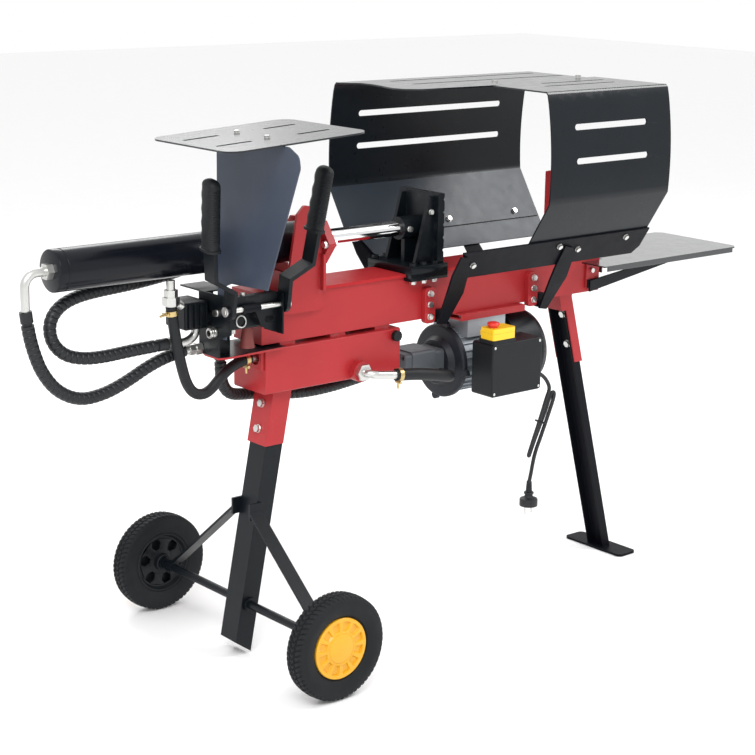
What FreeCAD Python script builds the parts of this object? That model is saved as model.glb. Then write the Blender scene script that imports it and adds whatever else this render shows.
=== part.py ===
import FreeCAD, Part
import os
from math import atan2, cos, degrees, pi, radians, sin, tan

# Horizontal electric-hydraulic log splitter with two-hand control.
# Millimetres. +X runs along the beam from the cylinder to the outfeed table, -Y is the
# operator's side, +Z is up.  Every shape is drawn with X = 0 at the wheel axle and moved by
# -CENTRE_X when it is written, so the origin is on the ground under the middle of the machine.

V = FreeCAD.Vector

# ---- driving dimensions -------------------------------------------------------------------
GAP = 0.3                      # clearance between parts that move past each other
RUNNING = 0.06                 # radial clearance of shafts in their bores

# beam
BEAM_X0, BEAM_X1 = 15.0, 910.0
BEAM_Z0, BEAM_TOP = 608.0, 704.0
BEAM_HALF, SLIDE_HALF = 44.0, 50.0
BEAM_WALL, SLIDE_T = 4.0, 6.0

# cylinder
BORE_Z = 786.0                 # height of the cylinder axis
BARREL_R, BARREL_BORE_R, ROD_R = 37.5, 31.5, 15.0
BARREL_X0, BARREL_X1 = -390.0, 150.0
FLANGE_T = 17.0
EAR_T = 6.0
PISTON_X0, PISTON_L = -262.0, 34.0

# pusher
PUSH_X0, PUSH_X1 = 358.0, 453.0
PUSH_HALF, PUSH_BASE_T = 66.0, 15.0
PLATE_FACE_X, PLATE_T, PLATE_TOP, PLATE_HALF = 448.0, 16.0, 856.0, 58.0
CLEVIS_R, CLEVIS_X0 = 22.5, 378.0

# wheels and front leg
WHEEL_Y, WHEEL_R, WHEEL_W, AXLE_Z, AXLE_R = 288.0, 100.0, 44.0, 100.0, 8.0
RIM_R = 62.0
LEG_SLOPE, LEG_DEPTH, LEG_HALF, LEG_FRONT_0 = 0.188, 40.0, 25.0, -38.0
LEG_WALL = 3.0

# rear leg
REAR_SLOPE, REAR_FREE_0, REAR_DEPTH, REAR_TOP = -0.2756, 986.0, 21.0, 600.0
FOOT_X0, FOOT_X1, FOOT_HALF, FOOT_T = 972.0, 1028.0, 85.5, 5.0

# oil tank
TANK_X0, TANK_X1, TANK_Z0, TANK_TOP, TANK_HALF, TANK_WALL = 20.0, 346.0, 514.0, 600.0, 50.0, 2.5
SHELF_TOP = 604.0

# cradle and guards
SHEET, CRADLE_T = 3.0, 4.0
CRADLE_LOW, CRADLE_TOP_Z, CRADLE_X1 = (131.0, 703.0), 760.0, 918.0
CRADLE_SLOPE = 0.635           # outward run for each millimetre of rise
GUARD_LOW_Z, GUARD_FOLD_Z, GUARD_TOP = 742.0, 840.0, 1054.0
NEAR_GUARD_X0, FAR_GUARD_X0, GUARD_X1 = 577.0, 379.0, 918.0

# outfeed table
TABLE_X0, TABLE_X1, TABLE_HALF, TABLE_TOP = 848.0, 1280.0, 118.0, 676.0

# control stand
PIN_Y, PIN_Z, PIN_R = -108.0, 698.0, 5.0
LEVER_LEAN = 8.0               # degrees towards the operator at rest
LEVER_T, LEVER_W = 8.0, 32.0
SHIELD_X0, SHIELD_X1 = -92.7, -89.7
STAND_X = -96.0
SPOOL, SPOOL_R = (-28.0, -58.0), 7.0
TRAY_TILT = 3.3                # degrees, the control tray rises towards the beam

# motor and pump
MOTOR_Z, MOTOR_R, MOTOR_X0, MOTOR_X1 = 503.0, 68.0, 505.0, 640.0
BELL_R, FAN_COVER_R, FAN_COVER_X1 = 75.0, 88.0, 735.0
SHAFT_R, PUMP_SHAFT_R = 9.5, 5.0
PUMP_X0, PUMP_X1, PUMP_HALF = 376.0, 480.0, 36.0
GEAR_TEETH, GEAR_MODULE, GEAR_X0, GEAR_WIDTH = 12, 1.5, 402.0, 40.0
SWITCH_BOX = ((502.0, 639.0), (-150.0, -91.0), (453.0, 561.0))
SWITCH_TOP, HOUSING_H, LID_H = 569.0, 13.0, 9.5

# leftmost and rightmost points set the middle of the machine
PORT_PIPE_R = 8.0
PORT_DROP_X = -446.0
CENTRE_X = ((PORT_DROP_X - PORT_PIPE_R) + TABLE_X1) / 2.0

# hoses: outer radius, then the route from end to end
HOSE_R = 11.5
SMOOTH_HOSE_R = 10.0
SUCTION_HOSE_R = 12.0
CORD_R = 4.0
HOSE_CAP_END = [
    (-446, 0, 722), (-442, 0, 688), (-434, -1, 652), (-420, -2, 613), (-392, -4, 575),
    (-348, -5, 553), (-299, -6, 557), (-254, -6, 572), (-208, -7, 594), (-168, -8, 607), (-132, -9, 613)]
HOSE_ROD_END = [
    (-176, -20, 633), (-212, -18, 632), (-255, -13, 629), (-300, -9, 625), (-340, -5, 626),
    (-374, 0, 636), (-395, 6, 661), (-395, 12, 694), (-372, 17, 719), (-334, 22, 731), (-284, 27, 735),
    (-222, 33, 737), (-156, 42, 741), (-92, 53, 747), (-32, 61, 758), (26, 64, 775), (76, 64, 786)]
HOSE_RETURN = [
    (-176.5, -35, 704), (-173, -34.5, 682), (-169, -34, 657), (-162, -34, 622), (-153, -33, 586), (-143, -32, 557), (-128, -31, 537),
    (-107, -31, 531), (-88, -31, 539), (-68, -31, 558), (-42, -29, 574), (-16, -27, 581), (2, -26, 582)]
HOSE_PRESSURE = [
    (-37, 14, 598), (-36, 15, 566), (-32, 17, 532), (-10, 26, 506), (30, 40, 496),
    (74, 48, 491), (118, 47, 483), (174, 40, 477), (232, 33, 480), (284, 28, 487), (318, 26, 492)]
HOSE_SUCTION = [
    (298, -95, 521), (336, -98, 518), (376, -101, 512), (410, -102, 505), (435, -97, 499), (449, -82, 494),
    (450, -66, 493), (450, -54, 492)]
CORD_LEAD = [(639, -118, 482), (656, -118, 479), (677, -117, 468), (691, -117, 452), (698, -118, 432)]
CORD_TAIL = [(655, -118, 303), (655, -119, 285), (652, -118, 264), (648, -118, 246)]
HANK_TOP, HANK_LOW = V(704, -118, 437), V(644, -118, 293)
HANK_WIDE, HANK_THICK = 13.0, 9.0
PLUG_TOP = V(648, -118, 246)


# ---- geometry helpers ---------------------------------------------------------------------
def box(xs, ys, zs):
    return Part.makeBox(xs[1] - xs[0], ys[1] - ys[0], zs[1] - zs[0], V(xs[0], ys[0], zs[0]))


def rod(start, end, r):
    start, end = V(*start), V(*end)
    return Part.makeCylinder(r, (end - start).Length, start, end - start)


def tube(start, end, outer_r, inner_r):
    return rod(start, end, outer_r).cut(rod(start, end, inner_r))


def joined(shapes):
    result = shapes[0]
    for shape in shapes[1:]:
        result = result.fuse(shape)
    return result.removeSplitter()


def mirrored(shape):
    return shape.mirror(V(0, 0, 0), V(0, 1, 0))


def both_sides(shape):
    return [shape, mirrored(shape)]


def corner(before, point, after, reach):
    """Tangent points, middle and radius of the arc that rounds one corner."""
    u, w = (before - point).normalize(), (after - point).normalize()
    half = (pi - u.getAngle(w)) / 2.0
    radius = reach / tan(half)
    away = (radius ** 2 + reach ** 2) ** 0.5 - radius
    middle = point + (u + w).normalize() * away
    return point + u * reach, middle, point + w * reach, radius


def rounded_outline(points, r):
    """Closed face with every corner rounded by r."""
    points = [V(*p) for p in points]
    count = len(points)
    arcs = []
    for i, point in enumerate(points):
        before, after = points[i - 1], points[(i + 1) % count]
        half = (pi - (before - point).getAngle(after - point)) / 2.0
        arcs.append(corner(before, point, after, r * tan(half)))
    edges = []
    for i, (start, middle, end, _) in enumerate(arcs):
        edges.append(Part.Arc(start, middle, end).toShape())
        edges.append(Part.LineSegment(end, arcs[(i + 1) % count][0]).toShape())
    return Part.Face(Part.Wire(edges))


def polygon(points):
    points = [V(*p) for p in points]
    return Part.Face(Part.makePolygon(points + points[:1]))


def slab_yz(outline, x0, x1, r=0):
    points = [(x0, y, z) for y, z in outline]
    face = rounded_outline(points, r) if r else polygon(points)
    return face.extrude(V(x1 - x0, 0, 0))


def slab_xz(outline, y0, y1, r=0):
    points = [(x, y0, z) for x, z in outline]
    face = rounded_outline(points, r) if r else polygon(points)
    return face.extrude(V(0, y1 - y0, 0))


def slab_xy(outline, z0, z1, r=0):
    points = [(x, y, z0) for x, y in outline]
    face = rounded_outline(points, r) if r else polygon(points)
    return face.extrude(V(0, 0, z1 - z0))


def slot_x(x0, x1, y_centre, z_centre, width, depth_axis, depth):
    """Round-ended slot cutter that runs along X and cuts along Y or Z."""
    r = width / 2.0
    if depth_axis == "z":
        flat = [(x0, y_centre - r), (x1, y_centre - r), (x1, y_centre + r), (x0, y_centre + r)]
        return slab_xy(flat, z_centre - depth, z_centre + depth, r * 0.99)
    flat = [(x0, z_centre - r), (x1, z_centre - r), (x1, z_centre + r), (x0, z_centre + r)]
    return slab_xz(flat, y_centre - depth, y_centre + depth, r * 0.99)


def path_wire(points, name=None):
    """Straight runs joined by tangent arcs of 0.45 of the shorter run."""
    points = [V(*p) for p in points]
    edges, radii, last = [], [], points[0]
    for before, point, after in zip(points, points[1:], points[2:]):
        reach = 0.45 * min((point - before).Length, (after - point).Length)
        start, middle, end, radius = corner(before, point, after, reach)
        edges.append(Part.LineSegment(last, start).toShape())
        edges.append(Part.Arc(start, middle, end).toShape())
        radii.append(radius)
        last = end
    edges.append(Part.LineSegment(last, points[-1]).toShape())
    wire = Part.Wire(edges)
    if name:
        print(name, "length", round(wire.Length), "smallest radius", round(min(radii), 1))
    return wire


def hose(points, r, name=None):
    wire = path_wire(points, name)
    start, along = V(*points[0]), V(*points[1]) - V(*points[0])
    ring = Part.Wire(Part.Circle(start, along, r).toShape())
    solid = wire.makePipeShell([ring], True, False)
    if name:
        ratio = solid.Volume / (pi * r * r * wire.Length)
        print(name, "volume over section times length", round(ratio, 4))
    return solid


def sheet_outline(points, thickness):
    """Closed outline of a folded sheet: the given line, and the same line set off to its left."""
    offset = []
    for i, (a, b) in enumerate(points):
        directions = []
        if i > 0:
            directions.append((a - points[i - 1][0], b - points[i - 1][1]))
        if i < len(points) - 1:
            directions.append((points[i + 1][0] - a, points[i + 1][1] - b))
        normals = []
        for da, db in directions:
            size = (da * da + db * db) ** 0.5
            normals.append((-db / size, da / size))
        na = sum(n[0] for n in normals)
        nb = sum(n[1] for n in normals)
        scale = thickness * len(normals) / (na * na + nb * nb)
        offset.append((a + na * scale, b + nb * scale))
    return points + offset[::-1]


def hexagon(centre, axis, across_flats, height):
    """Hexagonal prism; `centre` is the middle of its base."""
    centre, axis = V(*centre), V(*axis).normalize()
    reference = V(0, 0, 1) if abs(axis.z) < 0.9 else V(1, 0, 0)
    u = axis.cross(reference).normalize()
    w = axis.cross(u)
    r = across_flats / (2.0 * cos(pi / 6))
    points = [centre + u * (r * cos(k * pi / 3)) + w * (r * sin(k * pi / 3)) for k in range(6)]
    return Part.Face(Part.makePolygon(points + points[:1])).extrude(axis * height)


def bolt(seat, axis, across_flats=13.0, shank=0.0):
    """Washer and hexagon head that stand on `seat`; the shank runs back along -axis."""
    seat, axis = V(*seat), V(*axis).normalize()
    washer = Part.makeCylinder(across_flats * 0.62, 1.5, seat, axis)
    head = hexagon(seat + axis * 1.5, axis, across_flats, across_flats * 0.42)
    parts = [washer, head]
    if shank:
        parts.append(Part.makeCylinder(across_flats * 0.29, shank, seat - axis * shank, axis))
    return joined(parts)


def revolved(profile, centre, axis):
    """Turn an (radius, height) outline about `axis` through `centre`."""
    points = [V(r, 0, h) for r, h in profile]
    face = Part.Face(Part.makePolygon(points + points[:1]))
    solid = face.revolve(V(0, 0, 0), V(0, 0, 1), 360)
    solid.Placement = FreeCAD.Placement(V(*centre), FreeCAD.Rotation(V(0, 0, 1), V(*axis)))
    return solid


# ---- frame: beam, cylinder mount, tank, legs ----------------------------------------------
def beam():
    slide_z = BEAM_TOP - SLIDE_T
    body = box((BEAM_X0, BEAM_X1), (-BEAM_HALF, BEAM_HALF), (BEAM_Z0, slide_z))
    hollow = box((BEAM_X0 + BEAM_WALL, BEAM_X1 - BEAM_WALL),
                 (-BEAM_HALF + BEAM_WALL, BEAM_HALF - BEAM_WALL),
                 (BEAM_Z0 + BEAM_WALL, slide_z - BEAM_WALL))
    slide = box((BEAM_X0, BEAM_X1), (-SLIDE_HALF, SLIDE_HALF), (slide_z, BEAM_TOP))
    return [joined([body.cut(hollow), slide])]


def cylinder_mount():
    """Two ear plates on the beam's flanks, a rib on each, and the flange they carry."""
    x1 = BARREL_X1 - 2.0
    outline = [(56, 662), (140, 662), (x1, 672), (x1, 770), (132, 856), (104, 862), (88, 846)]
    ear = slab_xz(outline, -SLIDE_HALF - EAR_T, -SLIDE_HALF, 6)
    filler = box((62, 142), (-SLIDE_HALF, -BEAM_HALF), (664, BEAM_TOP - SLIDE_T))
    rib = box((x1 - 6, x1), (-SLIDE_HALF - EAR_T - 10, -SLIDE_HALF - EAR_T), (700, 768))
    side = joined([ear, filler, rib])
    flange = slab_yz([(-76, BORE_Z), (-46, 827), (46, 827), (76, BORE_Z), (46, 746), (-46, 746)],
                     x1, x1 + FLANGE_T, 4)
    flange = flange.cut(rod((x1 - 1, 0, BORE_Z), (x1 + FLANGE_T + 1, 0, BORE_Z), 28))
    tie = box((70, 78), (-SLIDE_HALF, SLIDE_HALF), (BEAM_TOP, 738))
    port_hole = rod((96, 40, BORE_Z), (96, 70, BORE_Z), 9 + GAP)
    return [side, mirrored(side).cut(port_hole), flange, tie]


def oil_tank():
    xs, ys, zs = (TANK_X0, TANK_X1), (-TANK_HALF, TANK_HALF), (TANK_Z0, TANK_TOP)
    shell = box(xs, ys, zs)
    shell = shell.makeFillet(4, [e for e in shell.Edges if abs(e.tangentAt(e.FirstParameter).x) > 0.9])
    t = TANK_WALL
    shell = shell.cut(box((xs[0] + t, xs[1] - t), (ys[0] + t, ys[1] - t), (zs[0] + t, zs[1] - t)))
    boss = rod((238, -TANK_HALF - 16, 530), (238, -TANK_HALF + t, 530), 20)
    filler_boss = rod((330, -TANK_HALF - 4, 587), (330, -TANK_HALF + t, 587), 11)
    shell = shell.fuse(boss).fuse(filler_boss)
    shell = shell.cut(rod((238, -TANK_HALF - 20, 530), (238, 0, 530), 8.5))
    shell = shell.cut(rod((330, -TANK_HALF - 20, 587), (330, 0, 587), 8.06))
    shell = shell.cut(rod((0, -26, 582), (TANK_X0 + 6, -26, 582), 7.5))
    pads = [box((x, x + 36), (-40, 40), (TANK_TOP, BEAM_Z0)) for x in (60, 180, 290)]
    return [joined([shell.removeSplitter()] + pads)]


def filler_cap():
    y = -TANK_HALF - 4
    centre = V(330, y - GAP, 587)
    knob = Part.makeCylinder(10.5, 9, centre, V(0, -1, 0))
    for k in range(12):
        angle = k * pi / 6
        at = centre + V(11.6 * cos(angle), 1, 11.6 * sin(angle))
        knob = knob.cut(Part.makeCylinder(1.8, 14, at, V(0, -1, 0)))
    return [joined([knob, rod((330, y - 4, 587), (330, -TANK_HALF + 8, 587), 8.0)])]


def leg_front_x(z):
    return LEG_FRONT_0 + LEG_SLOPE * z


def front_bracket():
    """Sleeve that takes the front leg, and the shelf for the control stand."""
    z0, z1, t = 407.0, TANK_Z0, 3.5
    lead = 4.0
    outer = [(leg_front_x(z0) - lead, z0), (leg_front_x(z0) + LEG_DEPTH - 1, z0),
             (leg_front_x(z1) + LEG_DEPTH - 1, z1), (leg_front_x(z1) - lead, z1)]
    inner = [(leg_front_x(z0 - 9) - GAP, z0 - 9), (leg_front_x(z0 - 9) + 60, z0 - 9),
             (leg_front_x(z1 - 8) + 60, z1 - 8), (leg_front_x(z1 - 8) - GAP, z1 - 8)]
    half = LEG_HALF + GAP
    sleeve = slab_xz(outer, -half - t, half + t).cut(slab_xz(inner, -half, half))
    shelf = slab_xy([(-96, -22), (-96, -64), (-82, -70), (60, -61), (60, 44), (-70, 44)],
                    TANK_TOP, SHELF_TOP)
    shelf = shelf.cut(rod((-37, 14, 590), (-37, 14, 610), 14))
    web = box((13, 19.6), (-46, 42), (560, TANK_TOP))
    web = web.cut(rod((0, -26, 582), (30, -26, 582), 13))
    return [sleeve.removeSplitter(), shelf, web]


def front_leg():
    z_top = TANK_Z0 - 10
    outline = [(leg_front_x(30), 30), (leg_front_x(4) + LEG_DEPTH, 4),
               (leg_front_x(z_top) + LEG_DEPTH, z_top), (leg_front_x(z_top), z_top)]
    t = LEG_WALL
    inside = [(leg_front_x(0) + t, 0), (leg_front_x(0) + LEG_DEPTH - t, 0),
              (leg_front_x(z_top + 1) + LEG_DEPTH - t, z_top + 1), (leg_front_x(z_top + 1) + t, z_top + 1)]
    leg = slab_xz(outline, -LEG_HALF, LEG_HALF).cut(slab_xz(inside, -LEG_HALF + t, LEG_HALF - t))
    leg = leg.cut(rod((0, -40, AXLE_Z), (0, 40, AXLE_Z), AXLE_R))
    return [leg.removeSplitter()]


def axle_frame():
    """Axle rod through the leg, with a flat brace down to it on each side."""
    axle = rod((0, -300, AXLE_Z), (0, 300, AXLE_Z), AXLE_R)
    collar = rod((0, -LEG_HALF - 6, AXLE_Z), (0, -LEG_HALF, AXLE_Z), 14)
    top, low = V(12, -LEG_HALF, 284), V(0, -238, AXLE_Z + AXLE_R)
    along = low - top
    lean = degrees(atan2(-along.y, -along.z))
    bar = Part.makeBox(28, 5, along.Length, V(-14, -2.5, -along.Length))
    bar.rotate(V(0, 0, 0), V(1, 0, 0), -lean)
    bar.translate(top)
    bar = bar.cut(box((-60, 60), (-LEG_HALF, 60), (0, 400)))
    foot = rod((0, -247, AXLE_Z), (0, -229, AXLE_Z), 12)
    tab = box((-2, 26), (-LEG_HALF - 5, -LEG_HALF), (268, 300))
    brace = joined([bar, foot, tab]).cut(axle)
    return [axle] + both_sides(collar.cut(axle)) + both_sides(brace)


def wheel_retainers():
    pieces = []
    washer = tube((0, -265.2, AXLE_Z), (0, -262.4, AXLE_Z), 15, AXLE_R)
    cotter = rod((0, -259.5, AXLE_Z - 14), (0, -259.5, AXLE_Z + 14), 1.6)
    cotter = cotter.cut(rod((0, -270, AXLE_Z), (0, -250, AXLE_Z), AXLE_R))
    ring = tube((0, -262.4, AXLE_Z), (0, -256.5, AXLE_Z), 11.5, AXLE_R).fuse(cotter)
    push_nut = tube((0, -300, AXLE_Z), (0, -297.3, AXLE_Z), 12, AXLE_R)
    for piece in (washer, ring.removeSplitter(), push_nut):
        pieces += both_sides(piece)
    return pieces


def tyre(side):
    half, shoulder = WHEEL_W / 2.0, 7.0
    profile = [(RIM_R, -half + 5), (RIM_R + 6, -half + 2), (80, -half), (92, -half + 2),
               (98, -half + shoulder), (WHEEL_R, -8), (WHEEL_R, 8), (98, half - shoulder),
               (92, half - 2), (80, half), (RIM_R + 6, half - 2), (RIM_R, half - 5)]
    return [revolved(profile, (0, side * WHEEL_Y, AXLE_Z), (0, 1, 0))]


def rim(side):
    """Plastic rim with six windows in its inner face and a domed cover on the outside."""
    half = WHEEL_W / 2.0 - 6
    out = 1 if side > 0 else -1
    centre = (0, side * WHEEL_Y, AXLE_Z)
    profile = [(18, -22), (18, -half + 4), (50, -half + 2), (56, -half), (RIM_R, -half), (RIM_R, half),
               (56, half), (56, -4), (18, -2), (18, 9), (AXLE_R + RUNNING, 9), (AXLE_R + RUNNING, -22)]
    body = revolved(profile, centre, (0, out, 0))
    for k in range(6):
        window = box((26, 46), (-8, 8), (-40, 40))
        window.rotate(V(0, 0, 0), V(0, 0, 1), k * 60)
        window.Placement = FreeCAD.Placement(V(*centre), FreeCAD.Rotation(V(0, 0, 1), V(0, out, 0))
                                             ).multiply(window.Placement)
        body = body.cut(window)
    cover = revolved([(55.9, half), (59, half), (59, half + 4), (50, half + 4.5), (40, half + 2), (26, half + 4),
                      (14, half + 9), (0, half + 10), (0, half + 6), (14, half + 5), (26, half), (40, half - 2),
                      (50, half), (55.9, half - 1)], centre, (0, out, 0))
    return [joined([body, cover])]


# ---- rear leg, brackets ---------------------------------------------------------------------
def rear_free_x(z):
    return REAR_FREE_0 + REAR_SLOPE * z


def rear_leg():
    """Channel open towards the wheels, welded to a rounded foot plate."""
    def strip(z0, z1, near, far):
        return [(rear_free_x(z0) + near, z0), (rear_free_x(z0) + far, z0),
                (rear_free_x(z1) + far, z1), (rear_free_x(z1) + near, z1)]

    channel = slab_xz(strip(FOOT_T, REAR_TOP, 0, REAR_DEPTH), -25, 25)
    channel = channel.cut(slab_xz(strip(FOOT_T - 1, REAR_TOP + 1, -2, REAR_DEPTH - 3), -22, 22))
    foot = slab_xy([(FOOT_X0, -FOOT_HALF), (FOOT_X1, -FOOT_HALF), (FOOT_X1, FOOT_HALF), (FOOT_X0, FOOT_HALF)],
                   0, FOOT_T, 12)
    return [joined([channel, foot])]


def rear_bracket():
    """Channel outside the rear leg, closed on top where it meets the beam."""
    def strip(z0, z1, near, far):
        return [(rear_free_x(z0) + near, z0), (rear_free_x(z0) + far, z0),
                (rear_free_x(z1) + far, z1), (rear_free_x(z1) + near, z1)]

    inner_half, wall = 25 + GAP, 3.5
    shell = slab_xz(strip(452, BEAM_Z0, 2, REAR_DEPTH + 4), -inner_half - wall, inner_half + wall)
    shell = shell.cut(slab_xz(strip(440, 602, -4, REAR_DEPTH + GAP), -inner_half, inner_half))
    top = slab_xz([(rear_free_x(570) - 12, 570), (rear_free_x(570) + 6, 570), (rear_free_x(608) + 30, 608),
                   (rear_free_x(608) - 12, 608)], -inner_half - wall, inner_half + wall)
    top = top.cut(slab_xz(strip(560, 602, -4, REAR_DEPTH + GAP), -inner_half, inner_half))
    return joined([shell, top])


def beam_brackets():
    """Brackets welded or bolted under and beside the beam."""
    pieces = [rear_bracket()]
    for x in (405, 688):
        plate = box((x, x + 27), (-BEAM_HALF - 12, -BEAM_HALF), (600, 672))
        plate = plate.makeFillet(8, [e for e in plate.Edges if abs(e.tangentAt(e.FirstParameter).y) > 0.9])
        pieces += both_sides(plate)
    mount = box((500, 676), (-60, 60), (594, BEAM_Z0))
    mount = mount.cut(box((499, 677), (-56, 56), (598, BEAM_Z0 - 4)))
    pieces.append(mount)
    cheek = box((866, 905), (-BEAM_HALF - 5, -BEAM_HALF), (618, 672))
    pieces += both_sides(cheek)
    return pieces


# ---- wedge, cradle, guards, table -----------------------------------------------------------
def wedge():
    """Double-bevelled blade on a base plate bolted across the beam."""
    blade = slab_xy([(781, 0), (822, -9), (862, -9), (862, 9), (822, 9)], BEAM_TOP + 10, 868)
    base = box((792, 890), (-SLIDE_HALF, SLIDE_HALF), (BEAM_TOP, BEAM_TOP + 10))
    stay = slab_xz([(862, 714), (886, 714), (862, 800)], -6, 6)
    return [joined([blade, base, stay])]


def cradle_y(z):
    return -(CRADLE_LOW[0] + (z - CRADLE_LOW[1]) * CRADLE_SLOPE)


def cradle_side(x_top, x_low):
    z0, z1 = CRADLE_LOW[1], CRADLE_TOP_Z
    line = [(cradle_y(z0), z0), (cradle_y(z1), z1)]
    plate = slab_yz(sheet_outline(line, CRADLE_T), min(x_top, x_low), CRADLE_X1 + 4)
    side_view = [(x_low, z0 - 20), (x_low, z0), (x_top, z1), (x_top, z1 + 20),
                 (CRADLE_X1 + 4, z1 + 20), (CRADLE_X1 + 4, z0 + 14), (CRADLE_X1 - 12, z0 - 4),
                 (CRADLE_X1 - 12, z0 - 20)]
    return plate.common(slab_xz(side_view, -220, -90))


def cradle_plates():
    return both_sides(cradle_side(398, 437))


def cradle_outside(z):
    """Y of the outer face of the near cradle plate."""
    return cradle_y(z) - CRADLE_T * (1 + CRADLE_SLOPE ** 2) ** 0.5 - 0.05


def cradle_arm(rows):
    """Flat arm from a lug on the beam's flank out to the cradle; each row is a left and a right end."""
    (xa, za), (xb, zb) = rows[0]
    lug = box((xa, xb), (-BEAM_HALF - 12, -BEAM_HALF), (za + 2, 624))
    lines = [[V(xa, -BEAM_HALF - 12, za), V(xb, -BEAM_HALF - 12, zb)]]
    lines += [[V(x, cradle_outside(z), z) for x, z in row] for row in rows[1:]]
    return [lug] + [loft_quad([a[0], a[1], b[1], b[0]], V(0, -5, 0)) for a, b in zip(lines, lines[1:])]


def loft_quad(quad, thickness):
    """Solid between a four-sided patch and its copy moved by `thickness`."""
    other = [p + thickness for p in quad]
    shell = []
    for ring in (quad, other):
        shell += [triangle(ring[0], ring[1], ring[2]), triangle(ring[0], ring[2], ring[3])]
    for i in range(4):
        j = (i + 1) % 4
        shell += [triangle(quad[i], quad[j], other[j]), triangle(quad[i], other[j], other[i])]
    return Part.makeSolid(Part.makeShell(shell))


def triangle(a, b, c):
    return Part.Face(Part.makePolygon([a, b, c, a]))


def cradle_arms():
    front = cradle_arm([((434, 598), (458, 594)), ((405, 668), (449, 668)), ((394, 712), (435, 712)),
                        ((393, 752), (414, 748))])
    rear = cradle_arm([((717, 594), (738, 590)), ((688, 668), (735, 668)), ((682, 703), (725, 703)),
                       ((679, 744), (707, 736))])
    pieces = []
    for solid in front + rear:
        pieces += both_sides(solid)
    return pieces


def guard_y(z):
    """Bowed upper part of the near guard."""
    return -219.9 + 0.0007 * (z - 900) ** 2


GUARD_LINE = [(cradle_y(GUARD_LOW_Z), GUARD_LOW_Z)]
GUARD_LINE += [(guard_y(z), z) for z in range(int(GUARD_FOLD_Z), 1037, 14)]


def guard(x0, top_line, top_slots, side_slots, top_z):
    """Folded side guard with a flat roof, drawn on the operator's side."""
    side = GUARD_LINE + [(-203, top_z - 5), (-198, top_z)]
    wall = slab_yz(sheet_outline(side, SHEET * -1.0), x0, GUARD_X1)
    roof = slab_xy(top_line, top_z - SHEET, top_z)
    shape = joined([wall, roof])
    for xa, xb, z in side_slots:
        shape = shape.cut(slot_x(xa, xb, -212, z, 12, "y", 20))
    for xa, xb, y in top_slots:
        shape = shape.cut(slot_x(xa, xb, y, top_z, 8, "z", 8))
    return shape


def guard_near():
    roof = [(NEAR_GUARD_X0, -199), (GUARD_X1, -199), (GUARD_X1, 2), (NEAR_GUARD_X0 + 4, -46)]
    side_slots = [(642, 847, 987), (646, 850, 921)]
    return [guard(NEAR_GUARD_X0, roof, [(660, 860, -110), (700, 880, -60)], side_slots, GUARD_TOP + SHEET)]


def guard_far():
    """Longer guard; its roof runs in from the far side with an S-shaped corner."""
    roof = [(FAR_GUARD_X0, -199), (GUARD_X1, -199), (GUARD_X1, 16), (640, 16), (430, 4), (402, -16), (396, -44),
            (408, -92), (416, -130), (412, -160), (FAR_GUARD_X0, -190)]
    side_slots = [(450, 848, 987), (450, 851, 920)]
    shape = guard(FAR_GUARD_X0, roof, [(489, 893, -160), (486, 912, -88)], side_slots, GUARD_TOP)
    return [mirrored(shape)]


def outfeed_table():
    """Flat outfeed table, notched round the end of the beam."""
    outline = [(TABLE_X0, -TABLE_HALF), (TABLE_X1 - 14, -TABLE_HALF), (TABLE_X1, -TABLE_HALF + 14),
               (TABLE_X1, TABLE_HALF - 14), (TABLE_X1 - 14, TABLE_HALF), (TABLE_X0, TABLE_HALF)]
    plate = slab_xy(outline, TABLE_TOP - SHEET, TABLE_TOP)
    notch = box((TABLE_X0 - 1, BEAM_X1 + 1), (-SLIDE_HALF - 1, SLIDE_HALF + 1), (TABLE_TOP - 20, TABLE_TOP + 20))
    hem = box((BEAM_X1 + 1, BEAM_X1 + 4), (-SLIDE_HALF, SLIDE_HALF), (TABLE_TOP - 30, TABLE_TOP - SHEET))
    lips = [box((TABLE_X0 + 10, TABLE_X1 - 20), (y, y + SHEET), (TABLE_TOP - 12, TABLE_TOP - SHEET))
            for y in (-TABLE_HALF, TABLE_HALF - SHEET)]
    return [joined([plate.cut(notch), hem] + lips)]


def table_struts():
    """Flat bars from under the beam up to the outer end of the table."""
    y0, y1 = -SLIDE_HALF - 6, -SLIDE_HALF - 1
    start, end = (872, 622), (1224, TABLE_TOP - SHEET)
    bar = slab_xz([(start[0], start[1] - 12), (end[0], end[1] - 10), (end[0] + 18, end[1] - 10),
                   (end[0] + 18, end[1]), (end[0] - 6, end[1]), (start[0], start[1] + 12)], y0, y1)
    foot = box((start[0] - 4, start[0] + 26), (y1, -BEAM_HALF - 5), (start[1] - 4, start[1] + 14))
    return both_sides(joined([bar, foot]))


# ---- cylinder -------------------------------------------------------------------------------
def barrel():
    cap_x = BARREL_X0 - 6
    body = tube((BARREL_X0, 0, BORE_Z), (BARREL_X1 - 2, 0, BORE_Z), BARREL_R, BARREL_BORE_R)
    groove = tube((BARREL_X0 + 9, 0, BORE_Z), (BARREL_X0 + 12, 0, BORE_Z), BARREL_R + 1, BARREL_R - 1.2)
    port = rod((96, 0, BORE_Z), (96, 60, BORE_Z), 9).cut(rod((96, 0, BORE_Z), (96, 61, BORE_Z), 5))
    port = port.cut(rod((60, 0, BORE_Z), (130, 0, BORE_Z), BARREL_BORE_R))
    cap = rod((cap_x, 0, BORE_Z), (BARREL_X0, 0, BORE_Z), BARREL_R)
    plug = rod((BARREL_X0, 0, BORE_Z), (BARREL_X0 + 14, 0, BORE_Z), BARREL_BORE_R)
    end = joined([cap, plug]).cut(rod((cap_x - 1, 0, BORE_Z), (BARREL_X0 + 15, 0, BORE_Z), 6))
    shell = body.cut(groove).cut(rod((96, 20, BORE_Z), (96, 60, BORE_Z), 5)).fuse(port)
    return [shell.removeSplitter(), end.removeSplitter()]


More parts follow.
